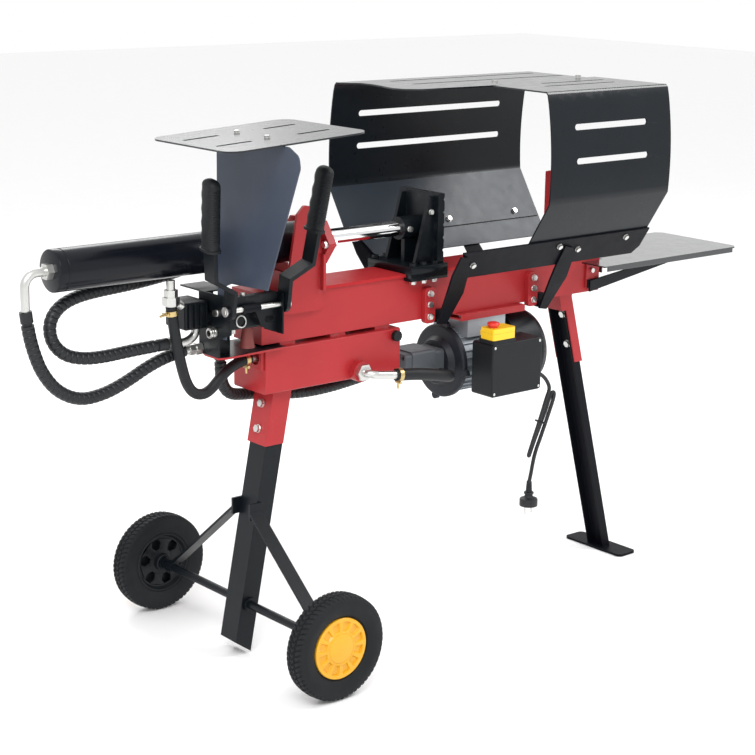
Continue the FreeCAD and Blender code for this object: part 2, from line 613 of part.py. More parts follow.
def gland():
    """Threaded nose that guides the rod out of the barrel."""
    x0, x1 = BARREL_X1 - 2 - 34, BARREL_X1 - 2 + FLANGE_T + 14
    body = joined([rod((x0, 0, BORE_Z), (BARREL_X1 - 2, 0, BORE_Z), BARREL_BORE_R),
                   rod((BARREL_X1 - 2, 0, BORE_Z), (x1, 0, BORE_Z), 27.7)])
    body = body.cut(rod((x0 - 1, 0, BORE_Z), (x1 + 1, 0, BORE_Z), ROD_R + RUNNING))
    wiper = tube((x1, 0, BORE_Z), (x1 + 4, 0, BORE_Z), 21, ROD_R + RUNNING)
    return [joined([body, wiper])]


def piston_rod():
    return [rod((PISTON_X0 + PISTON_L, 0, BORE_Z), (CLEVIS_X0 + 34, 0, BORE_Z), ROD_R)]


def piston():
    body = rod((PISTON_X0, 0, BORE_Z), (PISTON_X0 + PISTON_L, 0, BORE_Z), BARREL_BORE_R - RUNNING)
    for x in (8, 22):
        groove = tube((PISTON_X0 + x, 0, BORE_Z), (PISTON_X0 + x + 4, 0, BORE_Z), 40, 28.5)
        body = body.cut(groove)
    seals = [tube((PISTON_X0 + x + 0.2, 0, BORE_Z), (PISTON_X0 + x + 3.8, 0, BORE_Z),
                  BARREL_BORE_R - 0.05, 28.5) for x in (8, 22)]
    return [body] + seals


# ---- pusher ---------------------------------------------------------------------------------
def pusher_slide():
    """Base plate on the beam with a keeper that hooks under each edge of the slide plate."""
    z0 = BEAM_TOP + GAP
    xs = (PUSH_X0, PUSH_X1)
    base = box(xs, (-PUSH_HALF, PUSH_HALF), (z0, z0 + PUSH_BASE_T))
    keeper_z = BEAM_TOP - SLIDE_T - GAP
    block = box(xs, (-PUSH_HALF, -SLIDE_HALF - GAP), (keeper_z - 7, z0))
    lip = box(xs, (-SLIDE_HALF - GAP, -BEAM_HALF - GAP), (keeper_z - 7, keeper_z))
    keeper = joined([block, lip])
    pieces = [base] + both_sides(keeper)
    for k in range(3):
        x = PUSH_X0 + 12 + k * 27
        top = bolt((x, -PUSH_HALF + 9, z0 + PUSH_BASE_T), (0, 0, 1), 12)
        low = bolt((x, -PUSH_HALF + 9, keeper_z - 7), (0, 0, -1), 12)
        pieces += both_sides(top) + both_sides(low)
    return pieces


def push_plate():
    """Toothed pressure plate, its two stays and the sleeve that takes the rod."""
    z0 = BEAM_TOP + GAP + PUSH_BASE_T
    x1, x0 = PLATE_FACE_X, PLATE_FACE_X - PLATE_T
    plate = box((x0, x1), (-PLATE_HALF, PLATE_HALF), (z0, PLATE_TOP))
    for k in range(5):
        z = PLATE_TOP - 12 - k * 25
        groove = slab_xz([(x1 - 3, z), (x1 + 1, z - 5), (x1 + 1, z + 5)], -PLATE_HALF - 1, PLATE_HALF + 1)
        plate = plate.cut(groove)
    stay = slab_xz([(384, z0), (x0, z0), (x0, PLATE_TOP - 6), (x0 - 12, PLATE_TOP - 6)], -46, -38)
    inner = slab_xz([(392, z0), (x0, z0), (x0, BORE_Z), (CLEVIS_X0 + 6, BORE_Z), (392, BORE_Z - 20)], -5, 5)
    sleeve = rod((CLEVIS_X0, 0, BORE_Z), (x0, 0, BORE_Z), CLEVIS_R)
    body = joined([plate, stay, mirrored(stay), inner, sleeve])
    body = body.cut(rod((CLEVIS_X0 - 1, 0, BORE_Z), (CLEVIS_X0 + 34, 0, BORE_Z), ROD_R))
    screws = [bolt((CLEVIS_X0 + 12, -CLEVIS_R + 0.5, BORE_Z), (0, -1, 0), 10), bolt((423, -46, 820), (0, -1, 0), 9)]
    return [body] + screws


# ---- control stand --------------------------------------------------------------------------
def valve_bracket():
    left = slab_yz([(-66, SHELF_TOP), (-4, SHELF_TOP), (-4, 719), (-116, 719), (-116, 688), (-102, 680),
                    (-102, 652), (-66, 640)], STAND_X, STAND_X + 3)
    left = left.cut(rod((STAND_X - 1, -30, 672), (STAND_X + 4, -30, 672), 15))
    left = left.cut(rod((STAND_X - 1, PIN_Y, PIN_Z), (STAND_X + 4, PIN_Y, PIN_Z), PIN_R))
    left = left.cut(rod((STAND_X - 1, -9, 613), (STAND_X + 4, -9, 613), 9))
    near = slab_xz([(-93, 690), (-40, 690), (-26, 659), (12, 643), (12, 716), (-93, 716)], -100, -97)
    near = near.cut(slot_x(-19, 4, -98, 672, 11, "y", 10))
    right = box((9, 12), (-116, -60), (644, 719))
    right = right.cut(rod((8, PIN_Y, PIN_Z), (13, PIN_Y, PIN_Z), PIN_R))
    roof = box((STAND_X + 3, 9), (-100, -84), (716, 719))
    back_roof = box((STAND_X + 3, -40), (-20, 60), (716, 719))
    post = box((-64, -40), (30, 33), (SHELF_TOP, 716))
    return [joined([left, near, right, roof, back_roof, post])]


def lever_pin():
    pin = rod((-114, PIN_Y, PIN_Z), (30, PIN_Y, PIN_Z), PIN_R)
    stop = tube((-75, PIN_Y, PIN_Z), (-37, PIN_Y, PIN_Z), 7.6, PIN_R)
    heads = [tube((x, PIN_Y, PIN_Z), (x + 3, PIN_Y, PIN_Z), 9, PIN_R) for x in (-113, 26)]
    return [joined([pin, stop] + heads)]


def lean(shape):
    tilted = shape.copy()
    tilted.rotate(V(0, PIN_Y, PIN_Z), V(1, 0, 0), LEVER_LEAN)
    return tilted


def lever(points):
    """Flat bar bent outwards, with an eye on the pin."""
    x_foot = points[0][0]
    bar = slab_xz(sheet_outline(points, LEVER_T), PIN_Y - LEVER_W / 2, PIN_Y + LEVER_W / 2)
    x_low = min(x_foot, x_foot - LEVER_T)
    eye = rod((x_low, PIN_Y, PIN_Z), (x_low + LEVER_T, PIN_Y, PIN_Z), LEVER_W / 2)
    bore = rod((x_low - 1, PIN_Y, PIN_Z), (x_low + LEVER_T + 1, PIN_Y, PIN_Z), PIN_R + RUNNING)
    return lean(joined([bar, eye]).cut(bore))


LEFT_LINE = [(-98, PIN_Z), (-98, 738), (-142, 762), (-149, 815), (-158, 936)]
RIGHT_LINE = [(22, PIN_Z), (22, 744), (70, 768), (76, 828), (88, 940)]


def grip(line):
    """Moulded grip over the top of a lever bar."""
    (xa, za), (xb, zb) = line[-2], line[-1]
    height = ((xb - xa) ** 2 + (zb - za) ** 2) ** 0.5
    body = Part.makeBox(28, 42, height + 8, V(-14, -21, 0))
    body = body.makeFillet(9, body.Edges)
    core = Part.makeBox(LEVER_T, LEVER_W, height, V(-LEVER_T / 2, -LEVER_W / 2, -0.01))
    body = body.cut(core)
    slope = degrees(atan2(xb - xa, zb - za))
    body.rotate(V(0, 0, 0), V(0, 1, 0), slope)
    side = LEVER_T / 2.0
    body.translate(V(xa - side * cos(radians(slope)), PIN_Y, za + side * sin(radians(slope))))
    return lean(body)


def hand_shield():
    """Upright plate between the two levers, with a flange that carries the tray."""
    outline = [(-83, 640), (-58, 640), (-58, 1003), (-266, 1003), (-293, 990), (-297, 970), (-250, 855),
               (-207, 750), (-100, 745), (-83, 738)]
    plate = slab_yz(outline, SHIELD_X0, SHIELD_X1)
    plate = plate.makeFillet(14, [e for e in plate.Edges if abs(e.tangentAt(e.FirstParameter).x) > 0.9
                                  and e.BoundBox.YMin < -260 and e.BoundBox.ZMin > 960])
    plate = plate.cut(rod((SHIELD_X0 - 1, -70, 700), (SHIELD_X1 + 1, -70, 700), 3))
    flange = Part.makeBox(40, 96, SHEET, V(0, -184, -SHEET))
    flange.rotate(V(0, 0, 0), V(0, 1, 0), -TRAY_TILT)
    flange.translate(V(SHIELD_X0 + 0.2, 0, 1004))
    return [joined([plate, flange])]


def control_tray():
    """Small tray on top of the hand shield, with four long slots."""
    length, width = 298.0, 246.0
    outline = [(-length / 2, -width / 2), (length / 2, -width / 2), (length / 2, width / 2), (-length / 2, width / 2)]
    plate = slab_xy(outline, 0, SHEET, 30)
    for x0, x1 in ((-126, -52), (44, 114)):
        for y in (-49, 49):
            plate = plate.cut(slot_x(x0, x1, y, 1, 9, "z", 8))
    heads = [bolt((-17, y, SHEET), (0, 0, 1), 9) for y in (-44, 44)]
    pieces = [plate] + heads
    centre = V(-56, -136, 0)
    for piece in pieces:
        piece.rotate(V(0, 0, 0), V(0, 1, 0), -TRAY_TILT)
        rise = tan(radians(TRAY_TILT)) * (centre.x - SHIELD_X0)
        piece.translate(V(centre.x, centre.y, 1004.1 + rise))
    return pieces


def valve_body():
    """Valve block on a low foot, with its finned head outside the bracket."""
    main = box((-86, -8), (-82, -22), (655, 690))
    main = main.makeFillet(4, main.Edges)
    head = box((-150, -99), (-40, 25), (656, 706))
    head = head.makeFillet(4, head.Edges)
    neck = rod((-105, -30, 672), (-80, -30, 672), 14)
    ribs = [box((x, x + 4), (-44, -38), (660, 702)) for x in (-144, -132, -120, -108)]
    foot = box((-86, -50), (-36, -18), (SHELF_TOP, 670))
    body = joined([main, head, neck, foot] + ribs)
    return [body.cut(rod((SPOOL[0], SPOOL[1], 600), (SPOOL[0], SPOOL[1], 700), SPOOL_R + RUNNING))]


def spool_boot():
    """Tapered rubber boot round the lower end of the spool."""
    return [revolved([(SPOOL_R + 0.4, 0), (15, 0), (13.5, 4), (9.2, 41), (SPOOL_R + 0.4, 41)],
                     (SPOOL[0], SPOOL[1], 614), (0, 0, 1))]


def valve_spool():
    stem = rod((SPOOL[0], SPOOL[1], 613), (SPOOL[0], SPOOL[1], 699), SPOOL_R)
    head = rod((SPOOL[0], SPOOL[1], 699), (SPOOL[0], SPOOL[1], 704), 10)
    return [joined([stem, head])]


# ---- hydraulic fittings -----------------------------------------------------------------------
def hose_fittings():
    """Nipples, nuts and steel pipes between the hoses and the parts they feed."""
    pieces = []
    cap_x = BARREL_X0 - 6
    pipe = hose([(cap_x - 12, 0, BORE_Z), (-432, 0, BORE_Z), (PORT_DROP_X, 0, 772), (PORT_DROP_X, 0, 744)],
                PORT_PIPE_R)
    nut = hexagon((cap_x, 0, BORE_Z), (-1, 0, 0), 26, 12)
    ferrule = rod((PORT_DROP_X, 0, 722), (PORT_DROP_X, 0, 746), 7.8)
    pieces.append(joined([pipe, nut, ferrule]))
    # rod-end port on the far flank of the barrel
    pieces.append(joined([hexagon((96, 60, BORE_Z), (0, 1, 0), 22, 12), rod((76, 64, BORE_Z), (96, 64, BORE_Z), 7.5)]))
    # return: stacked nuts beside the valve head
    x, y = HOSE_RETURN[0][0], HOSE_RETURN[0][1]
    stack = joined([rod((x, y, 704), (x, y, 712), 10), hexagon((x, y, 706), (0, 0, 1), 27, 15),
                    hexagon((x, y, 721), (0, 0, 1), 22, 13), rod((x, y, 734), (x, y, 751), 8),
                    rod((x, y + 5, 717), (-150, -30, 701), 8)])
    pieces.append(stack.cut(box((-150, -90), (-60, 40), (640, 720))))
    # rod-end pipe up to the valve head
    riser = hose([(-176, -20, 633), (-156, -20, 631), (-134, -20, 631), (-117, -20, 640), (-113, -20, 656)], 8)
    pieces.append(joined([riser, hexagon((-176, -20, 633), (1, 0, 0), 20, 12)]))
    # cap-end nipple through the left plate
    pieces.append(joined([rod((-132, -9, 613), (-98, -9, 613), 8), hexagon((-123, -9, 613), (1, 0, 0), 19, 11),
                          hexagon((-109, -9, 613), (1, 0, 0), 21, 12)]))
    # ringed sleeve on the stand's left plate
    sleeve = [tube((STAND_X - 15, -56, 650), (STAND_X, -56, 650), 7.6, 6)]
    sleeve += [tube((x, -56, 650), (x + 2.6, -56, 650), 9.4, 6) for x in (STAND_X - 14, STAND_X - 9, STAND_X - 4)]
    pieces.append(joined(sleeve))
    # suction elbow on the tank
    boss_y = -TANK_HALF - 16
    suction = hose([(238, boss_y, 530), (239, -82, 529), (252, -93, 527), (298, -95, 521)], 8.4)
    pieces.append(joined([suction, hexagon((238, boss_y, 530), (0, -1, 0), 30, 10)]))
    # return nipple into the tank
    pieces.append(rod((2, -26, 582), (TANK_X0 + 6, -26, 582), 7.5))
    # pressure nipple at the pump, suction nipple at the pump, pressure nipple under the shelf
    pieces.append(joined([rod((318, 26, 492), (PUMP_X0, 26, 492), 7.5),
                          hexagon((PUMP_X0 - 12, 26, 492), (1, 0, 0), 19, 12)]))
    pieces.append(rod((450, -54, 492), (450, -PUMP_HALF, 492), 8))
    pieces.append(rod((-37, 14, 598), (-37, 14, 640), 7.5).fuse(box((-49.7, -28), (-21.7, 22), (632, 648))))
    return pieces


def clamp(centre, axis, r):
    """Worm-drive hose clamp: a band with its screw housing."""
    centre, axis = V(*centre), V(*axis).normalize()
    band = Part.makeCylinder(r + 1.2, 9, centre - axis * 4.5, axis)
    band = band.cut(Part.makeCylinder(r + 0.02, 11, centre - axis * 5.5, axis))
    out = V(0, 1, 0).cross(axis).normalize()
    side = axis.cross(out)
    screw = Part.makeCylinder(2.8, 16, centre + out * (r + 3) - side * 8, side)
    tee = Part.makeCylinder(2.2, 15, centre + out * (r + 0.6), out)
    return joined([band, screw, tee])


def hose_clamps():
    places = [((-174.7, -34.8, 692), (3.5, 0.5, -22), SMOOTH_HOSE_R), ((-8, -26.6, 581.3), (18, 1, 1), SMOOTH_HOSE_R),
              ((306, -95.6, 520.4), (38, -3, -3), SUCTION_HOSE_R)]
    return [clamp(*place) for place in places]


# ---- motor and pump ---------------------------------------------------------------------------
def motor_body():
    """Finned aluminium housing with its foot under the mount."""
    outer = rod((MOTOR_X0, 0, MOTOR_Z), (MOTOR_X1, 0, MOTOR_Z), MOTOR_R - 5)
    fins = []
    for k in range(28):
        angle = k * 2 * pi / 28
        fin = box((MOTOR_X0, MOTOR_X1), (-1.3, 1.3), (MOTOR_R - 8, MOTOR_R))
        fin.rotate(V(0, 0, 0), V(1, 0, 0), degrees(angle))
        fin.translate(V(0, 0, MOTOR_Z))
        fins.append(fin)
    foot = box((524, 628), (-52, 52), (556, 594))
    foot = foot.cut(rod((500, 0, MOTOR_Z), (650, 0, MOTOR_Z), MOTOR_R - 10))
    pad = box((540, 604), (SWITCH_BOX[1][1], -56), (478, 536))
    bodies = joined([outer] + fins + [foot, pad])
    housing = bodies.cut(rod((MOTOR_X0 - 1, 0, MOTOR_Z), (MOTOR_X1 + 1, 0, MOTOR_Z), 52)).removeSplitter()
    stator = tube((526, 0, MOTOR_Z), (622, 0, MOTOR_Z), 51.9, 40.6)
    return [housing, stator]


def motor_bell():
    """Adapter between the motor and the pump."""
    bore = SHAFT_R + RUNNING
    profile = [(BELL_R, -8), (BELL_R, 0), (52, 0), (48, -4), (bore, -4), (bore, -24), (44, -24), (52, -13), (70, -12)]
    bell = revolved([(r, h) for r, h in profile], (MOTOR_X0, 0, MOTOR_Z), (1, 0, 0))
    lug = rod((MOTOR_X0 - 9, 0, MOTOR_Z - 76), (MOTOR_X0, 0, MOTOR_Z - 76), 8)
    lugs = []
    for k in range(4):
        piece = lug.copy()
        piece.rotate(V(0, 0, MOTOR_Z), V(1, 0, 0), 10 + 90 * k)
        lugs.append(piece)
    return [joined([bell] + lugs)]


def fan_cover():
    x0, x1 = MOTOR_X1, FAN_COVER_X1
    outside = [(FAN_COVER_R, 0), (FAN_COVER_R, 66), (FAN_COVER_R - 9, 85), (FAN_COVER_R - 22, x1 - x0),
               (0, x1 - x0)]
    inside = [(0, x1 - x0 - 3), (FAN_COVER_R - 24, x1 - x0 - 3), (FAN_COVER_R - 12, 82),
              (FAN_COVER_R - 3, 64), (FAN_COVER_R - 3, 0)]
    cover = revolved(outside + inside, (x0, 0, MOTOR_Z), (1, 0, 0))
    for ring in range(3):
        for k in range(8 + 4 * ring):
            angle = k * 2 * pi / (8 + 4 * ring)
            y, z = (18 + 14 * ring) * cos(angle), MOTOR_Z + (18 + 14 * ring) * sin(angle)
            cover = cover.cut(rod((x1 - 10, y, z), (x1 + 2, y, z), 3.4))
    ring_plate = tube((x0, 0, MOTOR_Z), (x0 + 3, 0, MOTOR_Z), FAN_COVER_R - 3, 40)
    return [joined([cover, ring_plate])]


def motor_rotor():
    shaft = rod((450, 0, MOTOR_Z), (704, 0, MOTOR_Z), SHAFT_R)
    nose = rod((398, 0, MOTOR_Z), (450, 0, MOTOR_Z), PUMP_SHAFT_R)
    core = rod((530, 0, MOTOR_Z), (618, 0, MOTOR_Z), 40)
    hub = rod((664, 0, MOTOR_Z), (690, 0, MOTOR_Z), 18)
    blades = []
    for k in range(8):
        blade = box((664, 688), (-1.5, 1.5), (14, 62))
        blade.rotate(V(0, 0, 0), V(1, 0, 0), 45 * k)
        blade.translate(V(0, 0, MOTOR_Z))
        blades.append(blade)
    return [joined([shaft, nose, core, hub] + blades)]


def gear(centre_z, phase):
    """Spur gear along X, with narrow straight-flanked teeth."""
    pitch = 2 * pi / GEAR_TEETH
    pitch_r = GEAR_MODULE * GEAR_TEETH / 2.0
    root, tip = pitch_r - 1.2 * GEAR_MODULE, pitch_r + 0.85 * GEAR_MODULE
    points = []
    for k in range(GEAR_TEETH):
        middle = k * pitch + phase
        for radius, share in ((root, -0.25), (tip, -0.10), (tip, 0.10), (root, 0.25)):
            angle = middle + share * pitch
            points.append((radius * cos(angle), centre_z + radius * sin(angle)))
    return slab_yz(points, GEAR_X0, GEAR_X0 + GEAR_WIDTH)


def pump_drive_gear():
    body = gear(MOTOR_Z, 0)
    return [body.cut(rod((GEAR_X0 - 1, 0, MOTOR_Z), (GEAR_X0 + GEAR_WIDTH + 1, 0, MOTOR_Z), PUMP_SHAFT_R))]


def pump_idler_gear():
    z = MOTOR_Z + GEAR_MODULE * GEAR_TEETH
    body = gear(z, pi / GEAR_TEETH)
    return [joined([body, rod((388, 0, z), (456, 0, z), PUMP_SHAFT_R)])]


def pump_body():
    """Gear pump: rear cover, gear case and the flange end that meets the bell."""
    z0, z1 = MOTOR_Z - 20, MOTOR_Z + 37
    idler_z = MOTOR_Z + GEAR_MODULE * GEAR_TEETH
    blocks = [box((PUMP_X0, 393), (-PUMP_HALF + 2, PUMP_HALF - 2), (z0 + 1, z1 - 3)),
              box((393, 452), (-PUMP_HALF, PUMP_HALF), (z0, z1)),
              box((452, PUMP_X1), (-PUMP_HALF + 4, PUMP_HALF - 4), (z0 + 1, z1 - 5))]
    blocks = [b.makeFillet(8, [e for e in b.Edges if abs(e.tangentAt(e.FirstParameter).x) > 0.9]) for b in blocks]
    body = joined(blocks)
    tip = GEAR_MODULE * (GEAR_TEETH / 2.0 + 0.85) + 0.4
    small, large = PUMP_SHAFT_R + RUNNING, SHAFT_R + RUNNING
    for z in (MOTOR_Z, idler_z):
        body = body.cut(rod((GEAR_X0 - GAP, 0, z), (GEAR_X0 + GEAR_WIDTH + GAP, 0, z), tip))
    body = body.cut(rod((398 - GAP, 0, MOTOR_Z), (PUMP_X1, 0, MOTOR_Z), small))
    body = body.cut(rod((450 - GAP, 0, MOTOR_Z), (PUMP_X1 + 1, 0, MOTOR_Z), large))
    body = body.cut(rod((388 - GAP, 0, idler_z), (456 + GAP, 0, idler_z), small))
    for y in (-25, 25):
        for z in (z0 + 11, z1 - 12):
            body = body.cut(rod((PUMP_X0 - 1, y, z), (PUMP_X0 + 8, y, z), 4))
    return [body.removeSplitter()]


# ---- switch -------------------------------------------------------------------------------------
def switch_box():
    (x0, x1), (y0, y1), (z0, z1) = SWITCH_BOX
    body = box((x0, x1), (y0, y1), (z0, z1))
    body = body.makeFillet(6, [e for e in body.Edges if abs(e.tangentAt(e.FirstParameter).y) > 0.9])
    body = body.makeFillet(3, [e for e in body.Edges if abs(e.BoundBox.YMin - y0) < 0.01
                               and abs(e.BoundBox.YMax - y0) < 0.01])
    body = body.cut(box((x0 + 4, x1 - 4), (y0 + 4, y1 - 4), (z0 + 4, z1 - 4)))
    pad = box((503, 567), (-149.5, -107), (z1, SWITCH_TOP))
    pad = pad.makeFillet(4, [e for e in pad.Edges if abs(e.tangentAt(e.FirstParameter).z) > 0.9])
    gland_nut = tube((x1, -118, 482), (x1 + 7, -118, 482), 8, CORD_R + 0.02)
    return [joined([body.removeSplitter(), pad, gland_nut]).cut(rod((x1 - 3, -118, 482), (x1 + 8, -118, 482),
                                                               CORD_R + 0.02))]


def switch_housing():
    body = box((504, 564), (-149, -110), (SWITCH_TOP, SWITCH_TOP + HOUSING_H))
    body = body.makeFillet(4, [e for e in body.Edges if abs(e.tangentAt(e.FirstParameter).z) > 0.9])
    body = body.cut(box((507, 561), (-146, -113), (SWITCH_TOP + 3, SWITCH_TOP + 20)))
    plate = box((507, 561), (-146, -113), (SWITCH_TOP + 6, SWITCH_TOP + 9))
    for x in (520, 548):
        plate = plate.cut(rod((x, -130, SWITCH_TOP), (x, -130, SWITCH_TOP + 20), 8 + RUNNING))
    hinge_z = SWITCH_TOP + HOUSING_H
    parts = [body, plate, rod((508, -107.5, hinge_z), (560, -107.5, hinge_z), 1.5)]
    for x in (508, 556):
        parts.append(box((x, x + 4), (-110, -106), (hinge_z - 8, hinge_z - 1)))
        parts.append(rod((x, -107.5, hinge_z), (x + 4, -107.5, hinge_z), 2.4))
    return [joined(parts)]


def switch_lid():
    hinge_z = SWITCH_TOP + HOUSING_H
    z0 = hinge_z + GAP
    lid = box((504, 564), (-149, -110), (z0, z0 + LID_H))
    lid = lid.makeFillet(4, [e for e in lid.Edges if abs(e.tangentAt(e.FirstParameter).z) > 0.9])
    lid = lid.cut(box((507, 561), (-146, -113), (z0 - 1, z0 + LID_H - 3)))
    lid = lid.cut(rod((520, -130, z0), (520, -130, z0 + 20), 9 + RUNNING))
    knuckle = rod((513, -107.5, hinge_z), (555, -107.5, hinge_z), 2.4)
    strap = box((513, 555), (-112, -107.5), (z0 + 1.6, z0 + 4))
    return [joined([lid, knuckle, strap]).cut(rod((500, -107.5, hinge_z), (570, -107.5, hinge_z), 1.5 + RUNNING))]


def stop_knob():
    z0 = SWITCH_TOP + HOUSING_H + GAP
    z1 = z0 + LID_H + 3.3
    stem = rod((520, -130, z0 + 1), (520, -130, z1), 9)
    head = revolved([(0, 0), (11, 0), (12.5, 2), (12.5, 5), (10, 7.5), (0, 8.5)], (520, -130, z1), (0, 0, 1))
    return [joined([stem, head])]


def start_button():
    return [rod((548, -130, SWITCH_TOP + 5.5), (548, -130, SWITCH_TOP + 12.5), 8)]


# ---- cord -----------------------------------------------------------------------------------------
def power_cord():
    return [hose(CORD_LEAD, CORD_R, "power_cord lead"), hose(CORD_TAIL, CORD_R, "power_cord tail")]


def cord_hank():
    """Outer shape of the folded and tied cord: a flat bundle that narrows at both ends."""
    along = HANK_TOP - HANK_LOW
    length = along.Length
    sections = []
    for share, width in ((0.0, 0.45), (0.12, 0.75), (0.35, 0.9), (0.65, 1.0), (0.88, 0.8), (1.0, 0.45)):
        ellipse = Part.Ellipse(V(0, 0, 0), HANK_WIDE * width, HANK_THICK * width)
        ring = Part.Wire(ellipse.toShape())
        ring.translate(V(0, 0, share * length))
        sections.append(ring)
    body = Part.makeLoft(sections, True, False)
    body.Placement = FreeCAD.Placement(HANK_LOW, FreeCAD.Rotation(V(0, 0, 1), along))
    cords = [hose(CORD_LEAD, CORD_R), hose(CORD_TAIL, CORD_R)]
    for cord in cords:
        body = body.cut(cord)
    return [max(body.Solids, key=lambda s: s.Volume)]


def plug():
    """Earthed plug with its ribbed strain relief, hanging from the cord."""
    top = PLUG_TOP
    parts = [rod((top.x, top.y, top.z - 26), (top.x, top.y, top.z), 5.5)]
    for k in range(3):
        z = top.z - 6 - k * 8
        parts.append(rod((top.x, top.y, z - 3), (top.x, top.y, z), 7.5))
    parts.append(revolved([(0, 0), (18, 0), (19, 4), (19, 12), (16, 15), (10, 24), (7, 30), (0, 30)],
                          (top.x, top.y, top.z - 52), (0, 0, 1)))
    for dx in (-9.5, 9.5):
        parts.append(rod((top.x + dx, top.y, top.z - 70), (top.x + dx, top.y, top.z - 52), 2.4))
    return [joined(parts)]


# ---- fasteners ------------------------------------------------------------------------------------
def frame_bolts():
    """Bolts that hold the frame together, each with its washer."""
    pieces = []
    for z in (484, 436):
        y = 0
        x = leg_front_x(z) - 4.0
        pieces.append(bolt((x, y, z), (-1, 0, LEG_SLOPE), 13))
        pieces.append(bolt((leg_front_x(z) + LEG_DEPTH, y, z), (1, 0, -LEG_SLOPE), 13))
    for z in (556, 488):
        pieces.append(bolt((rear_free_x(z) + REAR_DEPTH - 3, 0, z), (-1, 0, REAR_SLOPE), 13))
        pieces.append(bolt((rear_free_x(z) + REAR_DEPTH + 4, 0, z), (1, 0, -REAR_SLOPE), 13))
    for x in (417, 702):
        for z in (614, 638, 660):
            pieces += both_sides(bolt((x, -BEAM_HALF - 12, z), (0, -1, 0), 10.5))
    for x, z in ((438, 730), (664, 745), (724, 733), (856, 746)):
        pieces += both_sides(bolt((x, cradle_outside(z), z), (0, -1, -CRADLE_SLOPE), 10))
    for x in (659, 851):
        pieces += both_sides(bolt((x, cradle_y(757) + 3.7, 757), (0, 1, CRADLE_SLOPE), 10))
    pieces.append(bolt((623, -5, GUARD_TOP + SHEET), (0, 0, 1), 11))
    pieces.append(bolt((862, -5, GUARD_TOP + SHEET), (0, 0, 1), 11))
    for x in (806, 876):
        for y in (-34, 34):
            pieces.append(bolt((x, y, BEAM_TOP + 10), (0, 0, 1), 15))
    for y in (-65, 65):
        pieces.append(bolt((BARREL_X1 - 2, y, BORE_Z), (-1, 0, 0), 12))
        pieces.append(bolt((BARREL_X1 - 2 + FLANGE_T, y, BORE_Z), (1, 0, 0), 12))
    for x in (518, 634):
        for y in (-40, 40):
            pieces.append(bolt((x, y, 598), (0, 0, 1), 10))
    pieces.append(bolt((STAND_X, -60, 686), (-1, 0, 0), 11))
    pieces.append(bolt((-88, -90, 719), (0, 0, 1), 8))
    pieces.append(bolt((-60, -90, 719), (0, 0, 1), 8))
    pieces += both_sides(rod((880, -BEAM_HALF - 5, 655), (880, -BEAM_HALF - 11, 655), 5))
    return pieces + wheel_retainers()


# ---- export ---------------------------------------------------------------------------------------
def hose_node(points, r, name):
    return [hose(points, r, name)]


NODES = {
    "beam": beam, "cylinder_mount": cylinder_mount, "oil_tank": oil_tank, "filler_cap": filler_cap,
    "front_bracket": front_bracket, "front_leg": front_leg, "axle_frame": axle_frame,
    "spool_boot": spool_boot, "rear_leg": rear_leg, "beam_brackets": beam_brackets,
    "wedge": wedge, "cradle_plates": cradle_plates, "cradle_arms": cradle_arms,
    "guard_near": guard_near, "guard_far": guard_far, "outfeed_table": outfeed_table,
    "table_struts": table_struts, "barrel": barrel, "gland": gland, "piston_rod": piston_rod,
    "piston": piston, "pusher_slide": pusher_slide, "push_plate": push_plate,
    "valve_bracket": valve_bracket, "lever_pin": lever_pin, "hand_shield": hand_shield,
    "control_tray": control_tray, "valve_body": valve_body, "valve_spool": valve_spool,
    "hose_fittings": hose_fittings, "hose_clamps": hose_clamps, "motor_body": motor_body,
    "motor_bell": motor_bell, "fan_cover": fan_cover, "motor_rotor": motor_rotor,
    "pump_body": pump_body, "pump_drive_gear": pump_drive_gear, "pump_idler_gear": pump_idler_gear,
    "switch_box": switch_box, "switch_housing": switch_housing, "switch_lid": switch_lid,
    "stop_knob": stop_knob, "start_button": start_button, "power_cord": power_cord,
    "cord_hank": cord_hank, "plug": plug, "frame_bolts": frame_bolts,
    "tyre_near": lambda: tyre(-1), "tyre_far": lambda: tyre(1),
    "rim_near": lambda: rim(-1), "rim_far": lambda: rim(1),
    "lever_left": lambda: [lever(LEFT_LINE)], "lever_right": lambda: [lever(RIGHT_LINE)],
    "grip_left": lambda: [grip(LEFT_LINE)], "grip_right": lambda: [grip(RIGHT_LINE)],
    "hose_cap_end": lambda: hose_node(HOSE_CAP_END, HOSE_R, "hose_cap_end"),
    "hose_rod_end": lambda: hose_node(HOSE_ROD_END, HOSE_R, "hose_rod_end"),
    "hose_return": lambda: hose_node(HOSE_RETURN, SMOOTH_HOSE_R, "hose_return"),
    "hose_pressure": lambda: hose_node(HOSE_PRESSURE, HOSE_R, "hose_pressure"),
    "hose_suction": lambda: hose_node(HOSE_SUCTION, SUCTION_HOSE_R, "hose_suction"),
}


def write_parts():
    os.makedirs("parts", exist_ok=True)
    for name, make in NODES.items():
        pieces = make()
        shape = pieces[0] if len(pieces) == 1 else Part.makeCompound(pieces)
        shape = shape.copy()
        shape.translate(V(-CENTRE_X, 0, 0))
        shape.exportStep("parts/" + name + ".step")
    print("nodes", len(NODES), "centre", CENTRE_X)


write_parts()
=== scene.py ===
import math

import bpy
import numpy as np
from mathutils import Matrix, Vector


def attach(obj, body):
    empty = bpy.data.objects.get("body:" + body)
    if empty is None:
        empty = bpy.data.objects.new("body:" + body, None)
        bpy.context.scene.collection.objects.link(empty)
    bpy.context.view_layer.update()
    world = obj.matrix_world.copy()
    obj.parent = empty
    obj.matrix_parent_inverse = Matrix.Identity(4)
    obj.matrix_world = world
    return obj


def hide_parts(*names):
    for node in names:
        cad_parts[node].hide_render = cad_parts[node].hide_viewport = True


# Log splitter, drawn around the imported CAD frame.  Lengths are metres in the row frame:
# +X along the beam towards the outfeed table, -Y the operator's side, +Z up.

